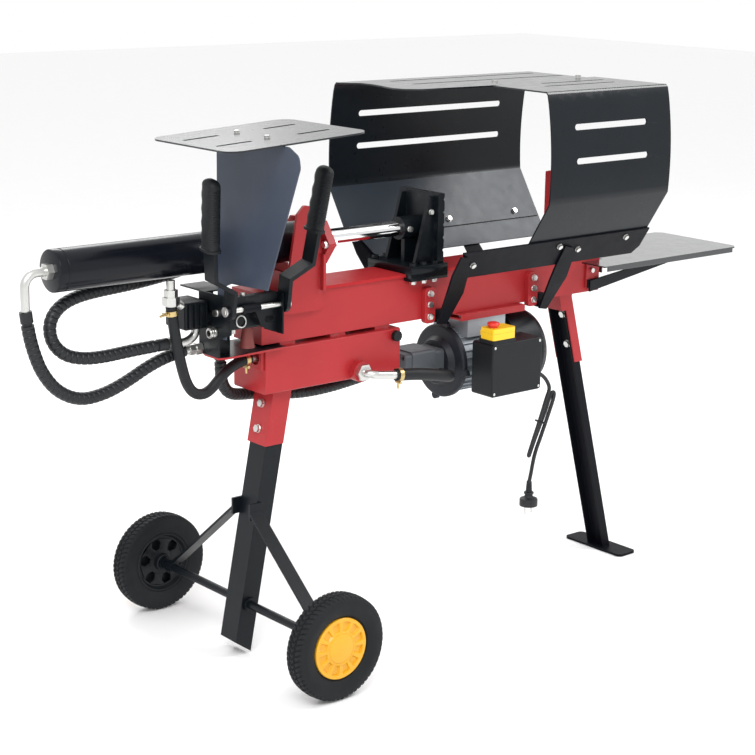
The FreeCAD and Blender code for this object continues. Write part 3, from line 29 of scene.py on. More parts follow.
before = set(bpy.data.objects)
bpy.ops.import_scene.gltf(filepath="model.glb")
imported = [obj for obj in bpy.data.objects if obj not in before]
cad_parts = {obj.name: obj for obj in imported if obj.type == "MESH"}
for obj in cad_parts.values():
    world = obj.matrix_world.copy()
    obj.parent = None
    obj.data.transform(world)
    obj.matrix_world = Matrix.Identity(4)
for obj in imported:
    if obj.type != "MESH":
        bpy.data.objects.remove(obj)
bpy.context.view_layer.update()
MIDDLE_X = 413.0               # the wheel axle is this far to -X of the origin, in mm


def mm(x, y, z):
    """A point given in millimetres from the wheel axle's line on the ground."""
    return Vector(((x - MIDDLE_X) / 1000.0, y / 1000.0, z / 1000.0))


# ---- camera ---------------------------------------------------------------------------------
def make_camera():
    """The camera of the photo, solved from the wheels, the beam's edges and the legs."""
    yaw, pitch, roll = math.radians(40.1), math.radians(14.05), math.radians(0.86)
    level = math.cos(pitch)
    forward = Vector((math.sin(yaw) * level, math.cos(yaw) * level, -math.sin(pitch)))
    right = Vector((math.cos(yaw), -math.sin(yaw), 0))
    up = right.cross(forward)
    right_r = right * math.cos(roll) + up * math.sin(roll)
    up_r = -right * math.sin(roll) + up * math.cos(roll)
    data = bpy.data.cameras.new("camera")
    data.sensor_width = 36.0
    data.lens = 87.69
    data.clip_start, data.clip_end = 0.1, 50.0
    camera = bpy.data.objects.new("camera", data)
    turn = Matrix((right_r, up_r, -forward)).transposed().to_4x4()
    place = mm(-1943.8, -2702.8, 1375.8)
    camera.matrix_world = Matrix.Translation(place) @ turn
    bpy.context.scene.collection.objects.link(camera)
    bpy.context.scene.camera = camera


make_camera()


# ---- materials --------------------------------------------------------------------------------
def shade(name, base, rough, metal=0.0, coat=0.0, coat_rough=0.1, spec=0.5, grain=900.0, bump=0.05,
          vary=0.10, vary_scale=9.0, rough_vary=0.08, wear=0.0, wear_color=(0.3, 0.3, 0.3)):
    """Surface with colour variation, uneven gloss, fine grain and light wear on the edges."""
    m = bpy.data.materials.new(name)
    m.use_nodes = True
    nodes, links = m.node_tree.nodes, m.node_tree.links
    bsdf = nodes["Principled BSDF"]
    bsdf.inputs["Metallic"].default_value = metal
    bsdf.inputs["Specular IOR Level"].default_value = spec
    bsdf.inputs["Coat Weight"].default_value = coat
    bsdf.inputs["Coat Roughness"].default_value = coat_rough
    place = nodes.new("ShaderNodeTexCoord")

    cloud = nodes.new("ShaderNodeTexNoise")
    cloud.inputs["Scale"].default_value = vary_scale
    cloud.inputs["Detail"].default_value = 4.0
    links.new(place.outputs["Object"], cloud.inputs["Vector"])
    ramp = nodes.new("ShaderNodeValToRGB")
    ramp.color_ramp.elements[0].position = 0.3
    ramp.color_ramp.elements[1].position = 0.7
    ramp.color_ramp.elements[0].color = [c * (1 - vary) for c in base] + [1]
    ramp.color_ramp.elements[1].color = [min(1.0, c * (1 + vary)) for c in base] + [1]
    links.new(cloud.outputs["Fac"], ramp.inputs["Fac"])
    color = ramp.outputs["Color"]

    if wear:
        edge = nodes.new("ShaderNodeNewGeometry")
        edge_ramp = nodes.new("ShaderNodeValToRGB")
        edge_ramp.color_ramp.elements[0].position = 0.56
        edge_ramp.color_ramp.elements[1].position = 0.66
        links.new(edge.outputs["Pointiness"], edge_ramp.inputs["Fac"])
        patch = nodes.new("ShaderNodeTexNoise")
        patch.inputs["Scale"].default_value = 60.0
        links.new(place.outputs["Object"], patch.inputs["Vector"])
        patch_ramp = nodes.new("ShaderNodeValToRGB")
        patch_ramp.color_ramp.elements[0].position = 0.5
        patch_ramp.color_ramp.elements[1].position = 0.62
        patch_ramp.color_ramp.elements[1].color = (wear, wear, wear, 1)
        links.new(patch.outputs["Fac"], patch_ramp.inputs["Fac"])
        both = nodes.new("ShaderNodeMath")
        both.operation = "MULTIPLY"
        links.new(edge_ramp.outputs["Color"], both.inputs[0])
        links.new(patch_ramp.outputs["Color"], both.inputs[1])
        mix = nodes.new("ShaderNodeMix")
        mix.data_type = "RGBA"
        mix.inputs["B"].default_value = (*wear_color, 1)
        links.new(both.outputs["Value"], mix.inputs["Factor"])
        links.new(color, mix.inputs["A"])
        color = mix.outputs["Result"]
    links.new(color, bsdf.inputs["Base Color"])

    smear = nodes.new("ShaderNodeTexNoise")
    smear.inputs["Scale"].default_value = vary_scale * 5
    smear.inputs["Detail"].default_value = 6.0
    links.new(place.outputs["Object"], smear.inputs["Vector"])
    gloss = nodes.new("ShaderNodeMapRange")
    gloss.inputs["To Min"].default_value = max(0.02, rough - rough_vary)
    gloss.inputs["To Max"].default_value = min(1.0, rough + rough_vary)
    links.new(smear.outputs["Fac"], gloss.inputs["Value"])
    links.new(gloss.outputs["Result"], bsdf.inputs["Roughness"])

    fine = nodes.new("ShaderNodeTexNoise")
    fine.inputs["Scale"].default_value = grain
    fine.inputs["Detail"].default_value = 3.0
    links.new(place.outputs["Object"], fine.inputs["Vector"])
    relief = nodes.new("ShaderNodeBump")
    relief.inputs["Strength"].default_value = bump
    relief.inputs["Distance"].default_value = 0.001
    links.new(fine.outputs["Fac"], relief.inputs["Height"])
    links.new(relief.outputs["Normal"], bsdf.inputs["Normal"])
    return m


def brushed(name, base, rough):
    """Plated or bare metal with fine lines across its X axis."""
    m = shade(name, base, rough, metal=1.0, vary=0.06, bump=0.04, grain=1500, rough_vary=0.05)
    nodes, links = m.node_tree.nodes, m.node_tree.links
    relief = next(n for n in nodes if n.type == "BUMP")
    place = next(n for n in nodes if n.type == "TEX_COORD")
    stretch = nodes.new("ShaderNodeMapping")
    stretch.inputs["Scale"].default_value = (900, 60, 60)
    lines = nodes.new("ShaderNodeTexNoise")
    lines.inputs["Scale"].default_value = 1.0
    links.new(place.outputs["Object"], stretch.inputs["Vector"])
    links.new(stretch.outputs["Vector"], lines.inputs["Vector"])
    links.new(lines.outputs["Fac"], relief.inputs["Height"])
    return m


RED = (0.40, 0.024, 0.028)
SOOT = (0.0042, 0.0062, 0.0086)
M = {
    "red": shade("red_enamel", RED, 0.38, coat=0.06, coat_rough=0.2, spec=0.26, bump=0.04, grain=520,
                 vary=0.05, wear=0.4, wear_color=(0.30, 0.10, 0.10)),
    "black": shade("black_enamel", SOOT, 0.38, coat=0.03, coat_rough=0.2, spec=0.2, bump=0.05,
                   grain=600, vary=0.15, wear=0.35, wear_color=(0.04, 0.045, 0.05)),
    "matt": shade("black_matt", (0.0040, 0.0045, 0.0070), 0.5, spec=0.1, bump=0.05, grain=600,
                  vary=0.15, wear=0.3, wear_color=(0.03, 0.03, 0.035)),
    "sheet": shade("black_sheet", (0.0048, 0.0074, 0.0104), 0.30, coat=0.02, coat_rough=0.16, spec=0.2,
                   bump=0.02, grain=700, vary=0.12, wear=0.3, wear_color=(0.05, 0.05, 0.055)),
    # painted reflection: lighter, glossier copy of the black sheet for the tray and the guards' tops,
    # standing in for the sky they reflect
    "painted_sky_reflection": shade("sheet_top_painted_reflection", (0.0065, 0.0085, 0.0110), 0.25, coat=0.30, coat_rough=0.15, spec=0.42,
                 bump=0.012, grain=700, vary=0.12),
    # painted reflection: lighter, glossier copy of the black sheet for the outfeed table's broad top
    "table": shade("table_top_painted_reflection", (0.0100, 0.0125, 0.0150), 0.24, coat=0.75, coat_rough=0.14, spec=0.6,
                   bump=0.012, grain=700, vary=0.12),
    # painted sheen: lighter, bluish copy of the black sheet for the far faces where light falls
    "painted_sheen": shade("sheet_painted_sheen", (0.0130, 0.0220, 0.0350), 0.40, coat=0.10, coat_rough=0.3, spec=0.48,
                   bump=0.02, grain=700, vary=0.12),
    # painted shade: duller copy of the red for the beam's top face, with less reflection than the same paint
    # gives elsewhere
    "red_top_painted_shade": shade("red_enamel_painted_shade", (0.42, 0.020, 0.024), 0.45, spec=0.12, bump=0.04, grain=520,
                     vary=0.05),
    # painted reflection: the black shield sheet given a lighter blue-grey colour for the light it reflects
    "shield": shade("shield_painted_reflection", (0.0400, 0.0520, 0.0800), 0.42, coat=0.04, coat_rough=0.3,
                    spec=0.35, bump=0.02, grain=700, vary=0.10),
    "barrel": shade("barrel_enamel", (0.0042, 0.0052, 0.0085), 0.24, coat=0.04, coat_rough=0.08,
                    spec=0.22, bump=0.012, grain=400, vary=0.1),
    "zinc": brushed("zinc_plate", (0.66, 0.66, 0.64), 0.30),
    "alloy": shade("cast_alloy", (0.46, 0.48, 0.51), 0.45, metal=0.45, bump=0.12, grain=300, vary=0.1),
    "gold": brushed("yellow_zinc", (0.62, 0.47, 0.22), 0.32),
    "chrome": shade("chrome_rod", (0.80, 0.80, 0.81), 0.09, metal=1.0, bump=0.01, grain=900, vary=0.03,
                    rough_vary=0.03),
    "steel": brushed("bare_steel", (0.42, 0.42, 0.43), 0.34),
    "cast": shade("cast_iron_paint", (0.085, 0.095, 0.105), 0.5, metal=0.2, spec=0.35, bump=0.3,
                  grain=260, vary=0.2),
    "bell": shade("bell_paint", (0.013, 0.015, 0.021), 0.5, spec=0.3, bump=0.2, grain=300, vary=0.15),
    "motor": shade("motor_grey", (0.30, 0.33, 0.36), 0.45, metal=0.3, bump=0.15, grain=300, vary=0.12),
    "tyre": shade("tyre_rubber", (0.0090, 0.0105, 0.0125), 0.62, spec=0.22, bump=0.20, grain=420,
                  vary=0.2, rough_vary=0.12),
    "hub_yellow": shade("hub_yellow", (0.75, 0.37, 0.006), 0.32, coat=0.15, bump=0.03, grain=500,
                        vary=0.05),
    "plastic": shade("black_plastic", (0.0065, 0.0085, 0.0105), 0.46, spec=0.26, bump=0.2, grain=850,
                     vary=0.12),
    "grip": shade("grip_rubber", (0.0070, 0.0085, 0.0100), 0.55, spec=0.28, bump=0.3, grain=700,
                  vary=0.15),
    "yellow": shade("yellow_plastic", (0.88, 0.55, 0.012), 0.33, coat=0.2, bump=0.04, grain=500,
                    vary=0.05),
    "knob_red": shade("red_plastic", (0.66, 0.025, 0.015), 0.28, coat=0.3, bump=0.03, grain=500,
                      vary=0.06),
    "green": shade("green_plastic", (0.02, 0.30, 0.06), 0.30, coat=0.3, bump=0.03, grain=500,
                   vary=0.06),
    "boot": shade("boot_red", (0.20, 0.045, 0.040), 0.45, spec=0.35, bump=0.15, grain=700, vary=0.12),
    "hose": shade("hose_wrap", (0.0085, 0.0098, 0.0120), 0.42, spec=0.38, bump=0.15, grain=600,
                  vary=0.25, vary_scale=40),
    "rubber": shade("hose_rubber", (0.0085, 0.0095, 0.0115), 0.50, spec=0.3, bump=0.22, grain=900,
                    vary=0.18, vary_scale=30),
    "cord": shade("cord_rubber", (0.011, 0.012, 0.014), 0.50, spec=0.4, bump=0.25, grain=1200,
                  vary=0.15),
}


# ---- CAD nodes: softened edges and finish --------------------------------------------------------
SOFT_EDGE = 0.0008


def dress(node, key, bevel):
    """Puts one material on a CAD node and rounds its edges by the bevel; for the tray, the outfeed table and
    the hand shield that material is a painted reflection.
    """
    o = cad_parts[node]
    o.data.materials.clear()
    o.data.materials.append(M[key])
    o.data.polygons.foreach_set("material_index", [0] * len(o.data.polygons))
    o.data.polygons.foreach_set("use_smooth", [True] * len(o.data.polygons))
    weld = o.modifiers.new("weld", "WELD")
    weld.merge_threshold = 0.00001
    flat = o.modifiers.new("flat", "DECIMATE")
    flat.decimate_type = "DISSOLVE"
    flat.angle_limit = math.radians(0.5)
    if bevel:
        soft = o.modifiers.new("edge", "BEVEL")
        soft.width = bevel
        soft.segments = 2
        soft.limit_method = "ANGLE"
        soft.angle_limit = math.radians(38)
        soft.use_clamp_overlap = True
    even = o.modifiers.new("normals", "WEIGHTED_NORMAL")
    even.mode = "FACE_AREA"
    even.weight = 50


def accent(node, key, test):
    """Another material on the faces whose centre, in mm from the wheel axle, passes the test: a real finish
    on some faces, painted light or shade on others.
    """
    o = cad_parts[node]
    o.data.materials.append(M[key])
    index = len(o.data.materials) - 1
    for face in o.data.polygons:
        c = o.matrix_world @ face.center
        if test(c.x * 1000 + MIDDLE_X, c.y * 1000, c.z * 1000):
            face.material_index = index


FINISH_AND_PAINTED_LIGHT = {
    "red": ["beam", "cylinder_mount", "oil_tank", "front_bracket", "beam_brackets", "wedge"],
    "matt": ["cradle_plates", "cradle_arms", "rear_leg"],
    "black": ["front_leg", "axle_frame", "table_struts", "gland",
              "pusher_slide", "push_plate", "valve_bracket", "valve_body", "lever_left", "lever_right",
              "fan_cover"],
    "sheet": ["guard_near", "guard_far"],
    # painted reflection over the whole hand shield
    "shield": ["hand_shield"],
    # painted reflection of the sky over the whole control tray
    "painted_sky_reflection": ["control_tray"],
    # painted reflection over the whole outfeed table
    "table": ["outfeed_table"],
    "boot": ["spool_boot"],
    "zinc": ["lever_pin", "hose_fittings", "frame_bolts"],
    "gold": ["hose_clamps"],
    "chrome": ["piston_rod"],
    "steel": ["piston", "valve_spool", "motor_rotor", "pump_drive_gear", "pump_idler_gear"],
    "cast": ["pump_body"],
    "motor": ["motor_body"],
    "bell": ["motor_bell"],
    "plastic": ["switch_box", "filler_cap"],
    "yellow": ["switch_housing", "switch_lid"],
    "knob_red": ["stop_knob"],
    "green": ["start_button"],
}
THIN = {"frame_bolts": 0.0004, "hose_clamps": 0.0003, "hose_fittings": 0.0005,
        "pump_drive_gear": 0.0, "pump_idler_gear": 0.0, "guard_near": 0.0006, "guard_far": 0.0006,
        "control_tray": 0.0005, "hand_shield": 0.0006, "motor_body": 0.0005, "filler_cap": 0.0004}
for key, names in FINISH_AND_PAINTED_LIGHT.items():
    for name in names:
        dress(name, key, THIN.get(name, SOFT_EDGE))

bpy.context.view_layer.update()
accent("pusher_slide", "zinc", lambda x, y, z: z < 690.5)
accent("push_plate", "zinc",
       lambda x, y, z: (x < 400 and -37 < y < -22.6) or (z > 800 and -54 < y < -46.05))
accent("control_tray", "zinc",
       lambda x, y, z: z > 1008.5 and abs(x + 73) < 9 and abs(abs(y + 136) - 44) < 9)
# painted reflection of the sky on the tops of both guards
accent("guard_near", "painted_sky_reflection", lambda x, y, z: z > 1048)
accent("guard_far", "painted_sky_reflection", lambda x, y, z: z > 1045)
# painted sheen on the far guard's lower flange and on the far cradle plate
accent("guard_far", "painted_sheen", lambda x, y, z: z < 840)
accent("cradle_plates", "painted_sheen", lambda x, y, z: y > 0)
# painted shade on the beam's top face
accent("beam", "red_top_painted_shade", lambda x, y, z: z > 701)
accent("frame_bolts", "black", lambda x, y, z: z < 140)
accent("front_bracket", "sheet", lambda x, y, z: abs(z - 604) < 0.6)
accent("motor_body", "alloy", lambda x, y, z: z > 571.6)
accent("lever_pin", "matt",
       lambda x, y, z: -76 < x < -36 and math.hypot(y + 108, z - 698) > 5.2)


# ---- mesh helpers ---------------------------------------------------------------------------------
def piece(name, verts, faces, key, body="frame", replaced=(), smooth=35.0):
    """Mesh object with a finish, a body to ride on and the CAD nodes it stands for."""
    mesh = bpy.data.meshes.new(name)
    mesh.from_pydata([tuple(v) for v in verts], [], faces)
    mesh.validate()
    mesh.update()
    mesh.materials.append(M[key])
    mesh.polygons.foreach_set("use_smooth", [True] * len(mesh.polygons))
    mesh.set_sharp_from_angle(angle=math.radians(smooth))
    o = bpy.data.objects.new(name, mesh)
    bpy.context.scene.collection.objects.link(o)
    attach(o, body)
    if replaced:
        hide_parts(*replaced)
    return o


def grid_faces(rows, columns, closed_rows=False, closed_columns=True):
    """Four-sided faces between neighbouring rows and columns of points."""
    faces = []
    for i in range(rows if closed_rows else rows - 1):
        for j in range(columns if closed_columns else columns - 1):
            a, b = i, (i + 1) % rows
            c, d = j, (j + 1) % columns
            faces.append((a * columns + c, a * columns + d, b * columns + d, b * columns + c))
    return faces


WHEEL_PLANE = 288              # from the beam's mid-plane to the middle of a wheel, in mm
WHEEL_RADIUS = 100


def wheel_axes(side):
    """Centre, and the outward, forward and upward directions of one wheel."""
    centre = mm(0, side * WHEEL_PLANE, WHEEL_RADIUS)
    return centre, Vector((0, side, 0)), Vector((1, 0, 0)), Vector((0, 0, 1))


def turned(profile, side, count, depth=None):
    """Ring mesh about a wheel's axle.  profile is (radius, outward height) in mm."""
    centre, out, ahead, up = wheel_axes(side)
    verts = []
    for j in range(count):
        angle = 2 * math.pi * j / count
        ray = ahead * math.cos(angle) + up * math.sin(angle)
        for i, (r, h) in enumerate(profile):
            if depth:
                r, h = depth(i, j, r, h, angle)
            verts.append(centre + ray * (r / 1000.0) + out * (h / 1000.0))
    return verts


def oriented(faces, flip):
    return [f[::-1] for f in faces] if flip else faces


# ---- tyres and rims -------------------------------------------------------------------------------
TREAD_HALF = 16.2              # half the width of the tread
TREAD_EDGE = 93.0              # the sidewall ends at this radius
RIB_EDGE = 6.2                 # the two zigzag grooves run this far from the middle
BLOCKS = 60                    # tread blocks round the tyre
TYRE_STEPS, COVER_STEPS, RIM_STEPS, DISC_STEPS = 720, 384, 240, 120
SPOKES = 6


def tyre_profile():
    """Closed outline of the tyre, from one bead over the tread to the other."""
    side = [(60.5, 15), (62, 17.2), (65, 18.6), (69, 20.0), (74, 21.2), (79, 21.8), (84, 21.9),
            (88, 21.4), (91.5, 20.6), (93.6, 19.8), (95.4, 18.6), (96.8, 17.2)]
    rows = 22
    tread = []
    for k in range(rows + 1):
        h = TREAD_HALF - k * 2 * TREAD_HALF / rows
        tread.append((97.6 + 2.3 * math.cos(h / TREAD_HALF * math.pi / 2.4), h))
    return side + tread + [(r, -h) for r, h in side[::-1]]


def tread_depth(i, j, r, h, angle):
    """Block tread: two zigzag grooves round the tyre and slanted sipes across each rib."""
    if r < TREAD_EDGE:
        ring = 0.5 * (abs(r - 88) < 0.6) + 0.35 * (abs(r - 69) < 0.6)
        return r - ring, h - math.copysign(ring, h)
    step = 2 * math.pi / BLOCKS
    zig = 1.5 * abs(((angle / step) % 1.0) * 2 - 1) - 0.75
    groove = 0.0
    for centre in (-RIB_EDGE, RIB_EDGE):
        if abs(h - centre - zig) < 1.15:
            groove = 2.6
    slant = 0.42 if h > RIB_EDGE else (-0.42 if h < -RIB_EDGE else 0.0)
    if abs(h) <= RIB_EDGE:
        skew = 0.10 * abs(h)
    else:
        skew = 0.62 + slant * (h - math.copysign(RIB_EDGE, h)) * 0.12
    across = ((angle / step) + skew) % 1.0
    if across < 0.26:
        groove = max(groove, 2.0 if abs(h) < 17.3 else 1.2)
    return r - groove, h


def make_tyre(side, name, body):
    """Tyre with its tread, in place of the CAD tyre."""
    profile = tyre_profile()
    verts = turned(profile, side, TYRE_STEPS, tread_depth)
    faces = oriented(grid_faces(TYRE_STEPS, len(profile), True, True), side > 0)
    piece(name + "_tread", verts, faces, "tyre", body, (name,), 28)


POCKETS = 12
DOME_EDGE, RING_EDGE, POCKET_EDGE = 26.0, 32.0, 51.0
COVER_RADII = [0.6, 5, 10, 14, 18, 21, 24, 25.9, 26.1, 27, 28.1, 29, 30, 31, 31.9, 32.2, 33, 34.2, 36, 39,
               42, 45, 48, 49.4, 50.2, 50.9, 51.2, 54, 56.6, 57.3, 57.8]
COVER_BACK = [(54.0, 11.5), (30.0, 12.6), (0.6, 12.6)]


def hub_height(r, angle):
    """Outward height of the yellow cover: low dome, raised ring, twelve pockets, flat lip."""
    share = (angle / (2 * math.pi) * POCKETS) % 1.0
    wall = min(1.0, max(0.0, (abs(share - 0.5) - 0.27) / 0.08))
    if r <= DOME_EDGE:
        return 18.6 + 1.8 * math.cos(r / DOME_EDGE * math.pi / 2)
    if r <= 28.0:
        return 18.6 - 1.4 * (r - DOME_EDGE) / 2.0
    if r <= RING_EDGE:
        return 17.2 + 1.0 * math.sin((r - 28.0) / 4.0 * math.pi)
    if r <= POCKET_EDGE:
        t = (r - RING_EDGE) / 19.0
        edge = min(1.0, (r - RING_EDGE) / 2.2) * min(1.0, (POCKET_EDGE - r) / 1.6)
        return 17.2 - (3.4 + 1.0 * t) * edge * (1.0 - wall)
    return 17.4


def cover_depth(i, j, r, h, angle):
    """Puts the front of the cover at its height; the points of its back stay as they are."""
    if i >= len(COVER_RADII):
        return r, h
    if r > 57.6:
        return r, 13.0
    lip = 0.6 if r > 57.0 else 0.0
    return r, hub_height(r, angle) - lip


def make_hub(side, body):
    """Yellow cover on the outside of one wheel."""
    profile = [(r, 0.0) for r in COVER_RADII] + COVER_BACK
    verts = turned(profile, side, COVER_STEPS, cover_depth)
    faces = oriented(grid_faces(COVER_STEPS, len(profile), True, True), side > 0)
    piece("hub_cover_" + body, verts, faces, "hub_yellow", body, (), 30)


def rim_turned(name, profile, side, body, count, replaced=()):
    """One turned piece of the black inner rim."""
    verts = turned(profile, side, count)
    faces = oriented(grid_faces(count, len(profile), True, True), side < 0)
    piece(name + body, verts, faces, "plastic", body, replaced, 30)


def make_rim(side, body, name):
    """Black inner rim: ring, the bore's boss, and six spokes with windows between them."""
    ring_profile = [(60.8, 14), (60.8, -16.5), (59.2, -17.5), (57.2, -17.0), (55.0, -13.0), (52.5, -9.5),
                    (49.5, -8.6), (49.5, -5.0), (54.0, -4.0), (56.5, 0), (56.5, 12)]
    rim_turned("rim_ring_", ring_profile, side, body, RIM_STEPS, (name,))
    boss_profile = [(8.4, 12), (8.4, -21.5), (9.2, -22), (16.5, -22), (17.8, -21), (18.4, -11),
                    (24.0, -9.6), (27.0, -9.0), (27.0, -5.0), (17.5, -4.0), (17.0, 12)]
    rim_turned("rim_boss_", boss_profile, side, body, RIM_STEPS)
    centre, out, ahead, up = wheel_axes(side)
    verts, faces = [], []
    steps = 14
    for k in range(SPOKES):
        start = len(verts)
        middle = 2 * math.pi * k / SPOKES + 0.3
        for s in range(steps + 1):
            t = s / steps
            r = 26.5 + 23.5 * t
            half = 0.30 + 0.06 * math.cos(2 * math.pi * t)
            section = ((-half, -9.0), (-half + 0.05, -9.7), (half - 0.05, -9.7), (half, -9.0), (half, -5.0),
                       (-half, -5.0))
            for a, h in section:
                angle = middle + a
                ray = ahead * math.cos(angle) + up * math.sin(angle)
                verts.append(centre + ray * (r / 1000.0) + out * (h / 1000.0))
        last = start + steps * 6
        faces += [tuple(start + v for v in f) for f in grid_faces(steps + 1, 6)]
        faces += [tuple(start + i for i in range(6))[::-1], tuple(last + i for i in range(6))]
    piece("rim_spokes_" + body, verts, oriented(faces, side > 0), "plastic", body, (), 30)


def make_painted_shade_disc(side, body):
    """Painted shade: a dark disc behind the cover, put where the windows of the inner rim show only shade."""
    disc = [(17.2, 4.0), (56.4, 4.0), (56.4, 5.4), (17.2, 5.4)]
    rim_turned("rim_painted_shade_disc_", disc, side, body, DISC_STEPS)


for wheel_side, wheel_body, wheel_tag in ((-1, "wheel_near", "near"), (1, "wheel_far", "far")):
    make_tyre(wheel_side, "tyre_" + wheel_tag, wheel_body)
    make_hub(wheel_side, wheel_body)
    make_rim(wheel_side, wheel_body, "rim_" + wheel_tag)
    make_painted_shade_disc(wheel_side, wheel_body)


# ---- hoses ----------------------------------------------------------------------------------------
WRAP_RADIUS = 0.0115           # of the spiral wrap on three of the hoses, in metres


def spline_points(control, step):
    """Even points on the quadratic B-spline that starts and ends at the outer control points."""
    c = [Vector(p) for p in control]
    nodes = [c[0]] + [(c[i] + c[i + 1]) / 2 for i in range(1, len(c) - 2)] + [c[-1]]
    samples = 60
    dense = []
    for i in range(len(nodes) - 1):
        a, b, d = nodes[i], c[i + 1], nodes[i + 1]
        for s in range(samples):
            t = s / samples
            dense.append(a * (1 - t) ** 2 + b * 2 * t * (1 - t) + d * t * t)
    dense.append(nodes[-1])
    run = [0.0]
    for p, q in zip(dense, dense[1:]):
        run.append(run[-1] + (q - p).length)
    total = run[-1]
    count = max(2, int(round(total / step)))
    points, k = [], 0
    for i in range(count + 1):
        want = total * i / count
        while k < len(run) - 2 and run[k + 1] < want:
            k += 1
        share = (want - run[k]) / max(1e-9, run[k + 1] - run[k])
        points.append(dense[k].lerp(dense[k + 1], share))
    return points, total


def tube_mesh(points, radius, around):
    """Rings along the points; radius(distance, angle) in metres; frames carried without twist."""
    tangents = []
    for i in range(len(points)):
        a, b = points[max(0, i - 1)], points[min(len(points) - 1, i + 1)]
        tangents.append((b - a).normalized())
    side = tangents[0].orthogonal().normalized()
    verts, run = [], 0.0
    for i, p in enumerate(points):
        if i:
            run += (p - points[i - 1]).length
            side = (side - tangents[i] * side.dot(tangents[i])).normalized()
        other = tangents[i].cross(side)
        for j in range(around):
            angle = 2 * math.pi * j / around
            r = radius(run, angle)
            verts.append(p + (side * math.cos(angle) + other * math.sin(angle)) * r)
    faces = grid_faces(len(points), around)
    last = (len(points) - 1) * around
    faces.append(tuple(range(around))[::-1])
    faces.append(tuple(last + j for j in range(around)))
    return verts, faces


def wrapped(name, node, control, r):
    """Hose in a plastic spiral wrap: flat turns with a narrow gap between them."""
    pitch, gap = 0.0105, 0.16
    start_cuff, end_cuff, neck = 0.020, 0.016, 0.022
    points, total = spline_points(control, 0.0013)

    def radius(run, angle):
        turn = (run / pitch - angle / (2 * math.pi)) % 1.0
        edge = min(turn, 1.0 - turn)
        if run < start_cuff or run > total - end_cuff:
            return r * 0.97
        if abs(run - neck) < 0.0022:
            return r * 0.78
        crown = 1.0 - 0.035 * (2 * turn - 1.0) ** 2
        groove = 0.0 if edge > gap / 2 else 0.12 * (1.0 - (edge / (gap / 2)) ** 2)
        return r * (crown - groove)

    verts, faces = tube_mesh(points, radius, 36)
    o = piece(name, verts, faces, "hose", "frame", (node,), 50)


def curve_hose(name, node, control, r, key):
    """Smooth round hose or cord along its control points."""
    data = bpy.data.curves.new(name, "CURVE")
    data.dimensions = "3D"
    data.bevel_depth = r
    data.bevel_resolution = 8
    data.use_fill_caps = True
    data.resolution_u = 12
    spline = data.splines.new("NURBS")
    spline.points.add(len(control) - 1)
    for point, place in zip(spline.points, control):
        point.co = (*place, 1.0)
    spline.order_u = 3
    spline.use_endpoint_u = True
    data.materials.append(M[key])
    o = bpy.data.objects.new(name, data)
    bpy.context.scene.collection.objects.link(o)
    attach(o, "frame")
    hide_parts(node)
    return o


# ---- hose and cord routes, in metres --------------------------------------------------------------
HOSE_CAP_END_ROUTE = [
    (-0.859, 0, 0.722), (-0.855, 0, 0.688), (-0.847, -0.001, 0.652), (-0.833, -0.002, 0.613),
    (-0.805, -0.004, 0.575), (-0.761, -0.005, 0.553), (-0.712, -0.006, 0.557), (-0.667, -0.006, 0.572),
    (-0.621, -0.007, 0.594), (-0.581, -0.008, 0.607), (-0.545, -0.009, 0.613)]
HOSE_ROD_END_ROUTE = [
    (-0.589, -0.02, 0.633), (-0.625, -0.018, 0.632), (-0.668, -0.013, 0.629), (-0.713, -0.009, 0.625),
    (-0.753, -0.005, 0.626), (-0.787, 0, 0.636), (-0.808, 0.006, 0.661), (-0.808, 0.012, 0.694),
    (-0.785, 0.017, 0.719), (-0.747, 0.022, 0.731), (-0.697, 0.027, 0.735), (-0.635, 0.033, 0.737),
    (-0.569, 0.042, 0.741), (-0.505, 0.053, 0.747), (-0.445, 0.061, 0.758), (-0.387, 0.064, 0.775),
    (-0.337, 0.064, 0.786)]
HOSE_PRESSURE_ROUTE = [
    (-0.45, 0.014, 0.598), (-0.449, 0.015, 0.566), (-0.445, 0.017, 0.532), (-0.423, 0.026, 0.506),
    (-0.383, 0.04, 0.496), (-0.339, 0.048, 0.491), (-0.295, 0.047, 0.483), (-0.239, 0.04, 0.477),
    (-0.181, 0.033, 0.48), (-0.129, 0.028, 0.487), (-0.095, 0.026, 0.492)]
HOSE_RETURN_ROUTE = [
    (-0.5895, -0.035, 0.704), (-0.586, -0.0345, 0.682), (-0.582, -0.034, 0.657), (-0.575, -0.034, 0.622),
    (-0.566, -0.033, 0.586), (-0.556, -0.032, 0.557), (-0.541, -0.031, 0.537), (-0.52, -0.031, 0.531),
    (-0.501, -0.031, 0.539), (-0.481, -0.031, 0.558), (-0.455, -0.029, 0.574), (-0.429, -0.027, 0.581),
    (-0.411, -0.026, 0.582)]
HOSE_SUCTION_ROUTE = [
    (-0.115, -0.095, 0.521), (-0.077, -0.098, 0.518), (-0.037, -0.101, 0.512), (-0.003, -0.102, 0.505),
    (0.022, -0.097, 0.499), (0.036, -0.082, 0.494), (0.037, -0.066, 0.493), (0.037, -0.054, 0.492)]

wrapped("cap_end_hose", "hose_cap_end", HOSE_CAP_END_ROUTE, WRAP_RADIUS)
wrapped("rod_end_hose", "hose_rod_end", HOSE_ROD_END_ROUTE, WRAP_RADIUS)
wrapped("pressure_hose", "hose_pressure", HOSE_PRESSURE_ROUTE, WRAP_RADIUS)
return_hose = curve_hose("return_hose", "hose_return", HOSE_RETURN_ROUTE, 0.010, "rubber")
suction_hose = curve_hose("suction_hose", "hose_suction", HOSE_SUCTION_ROUTE, 0.012, "rubber")

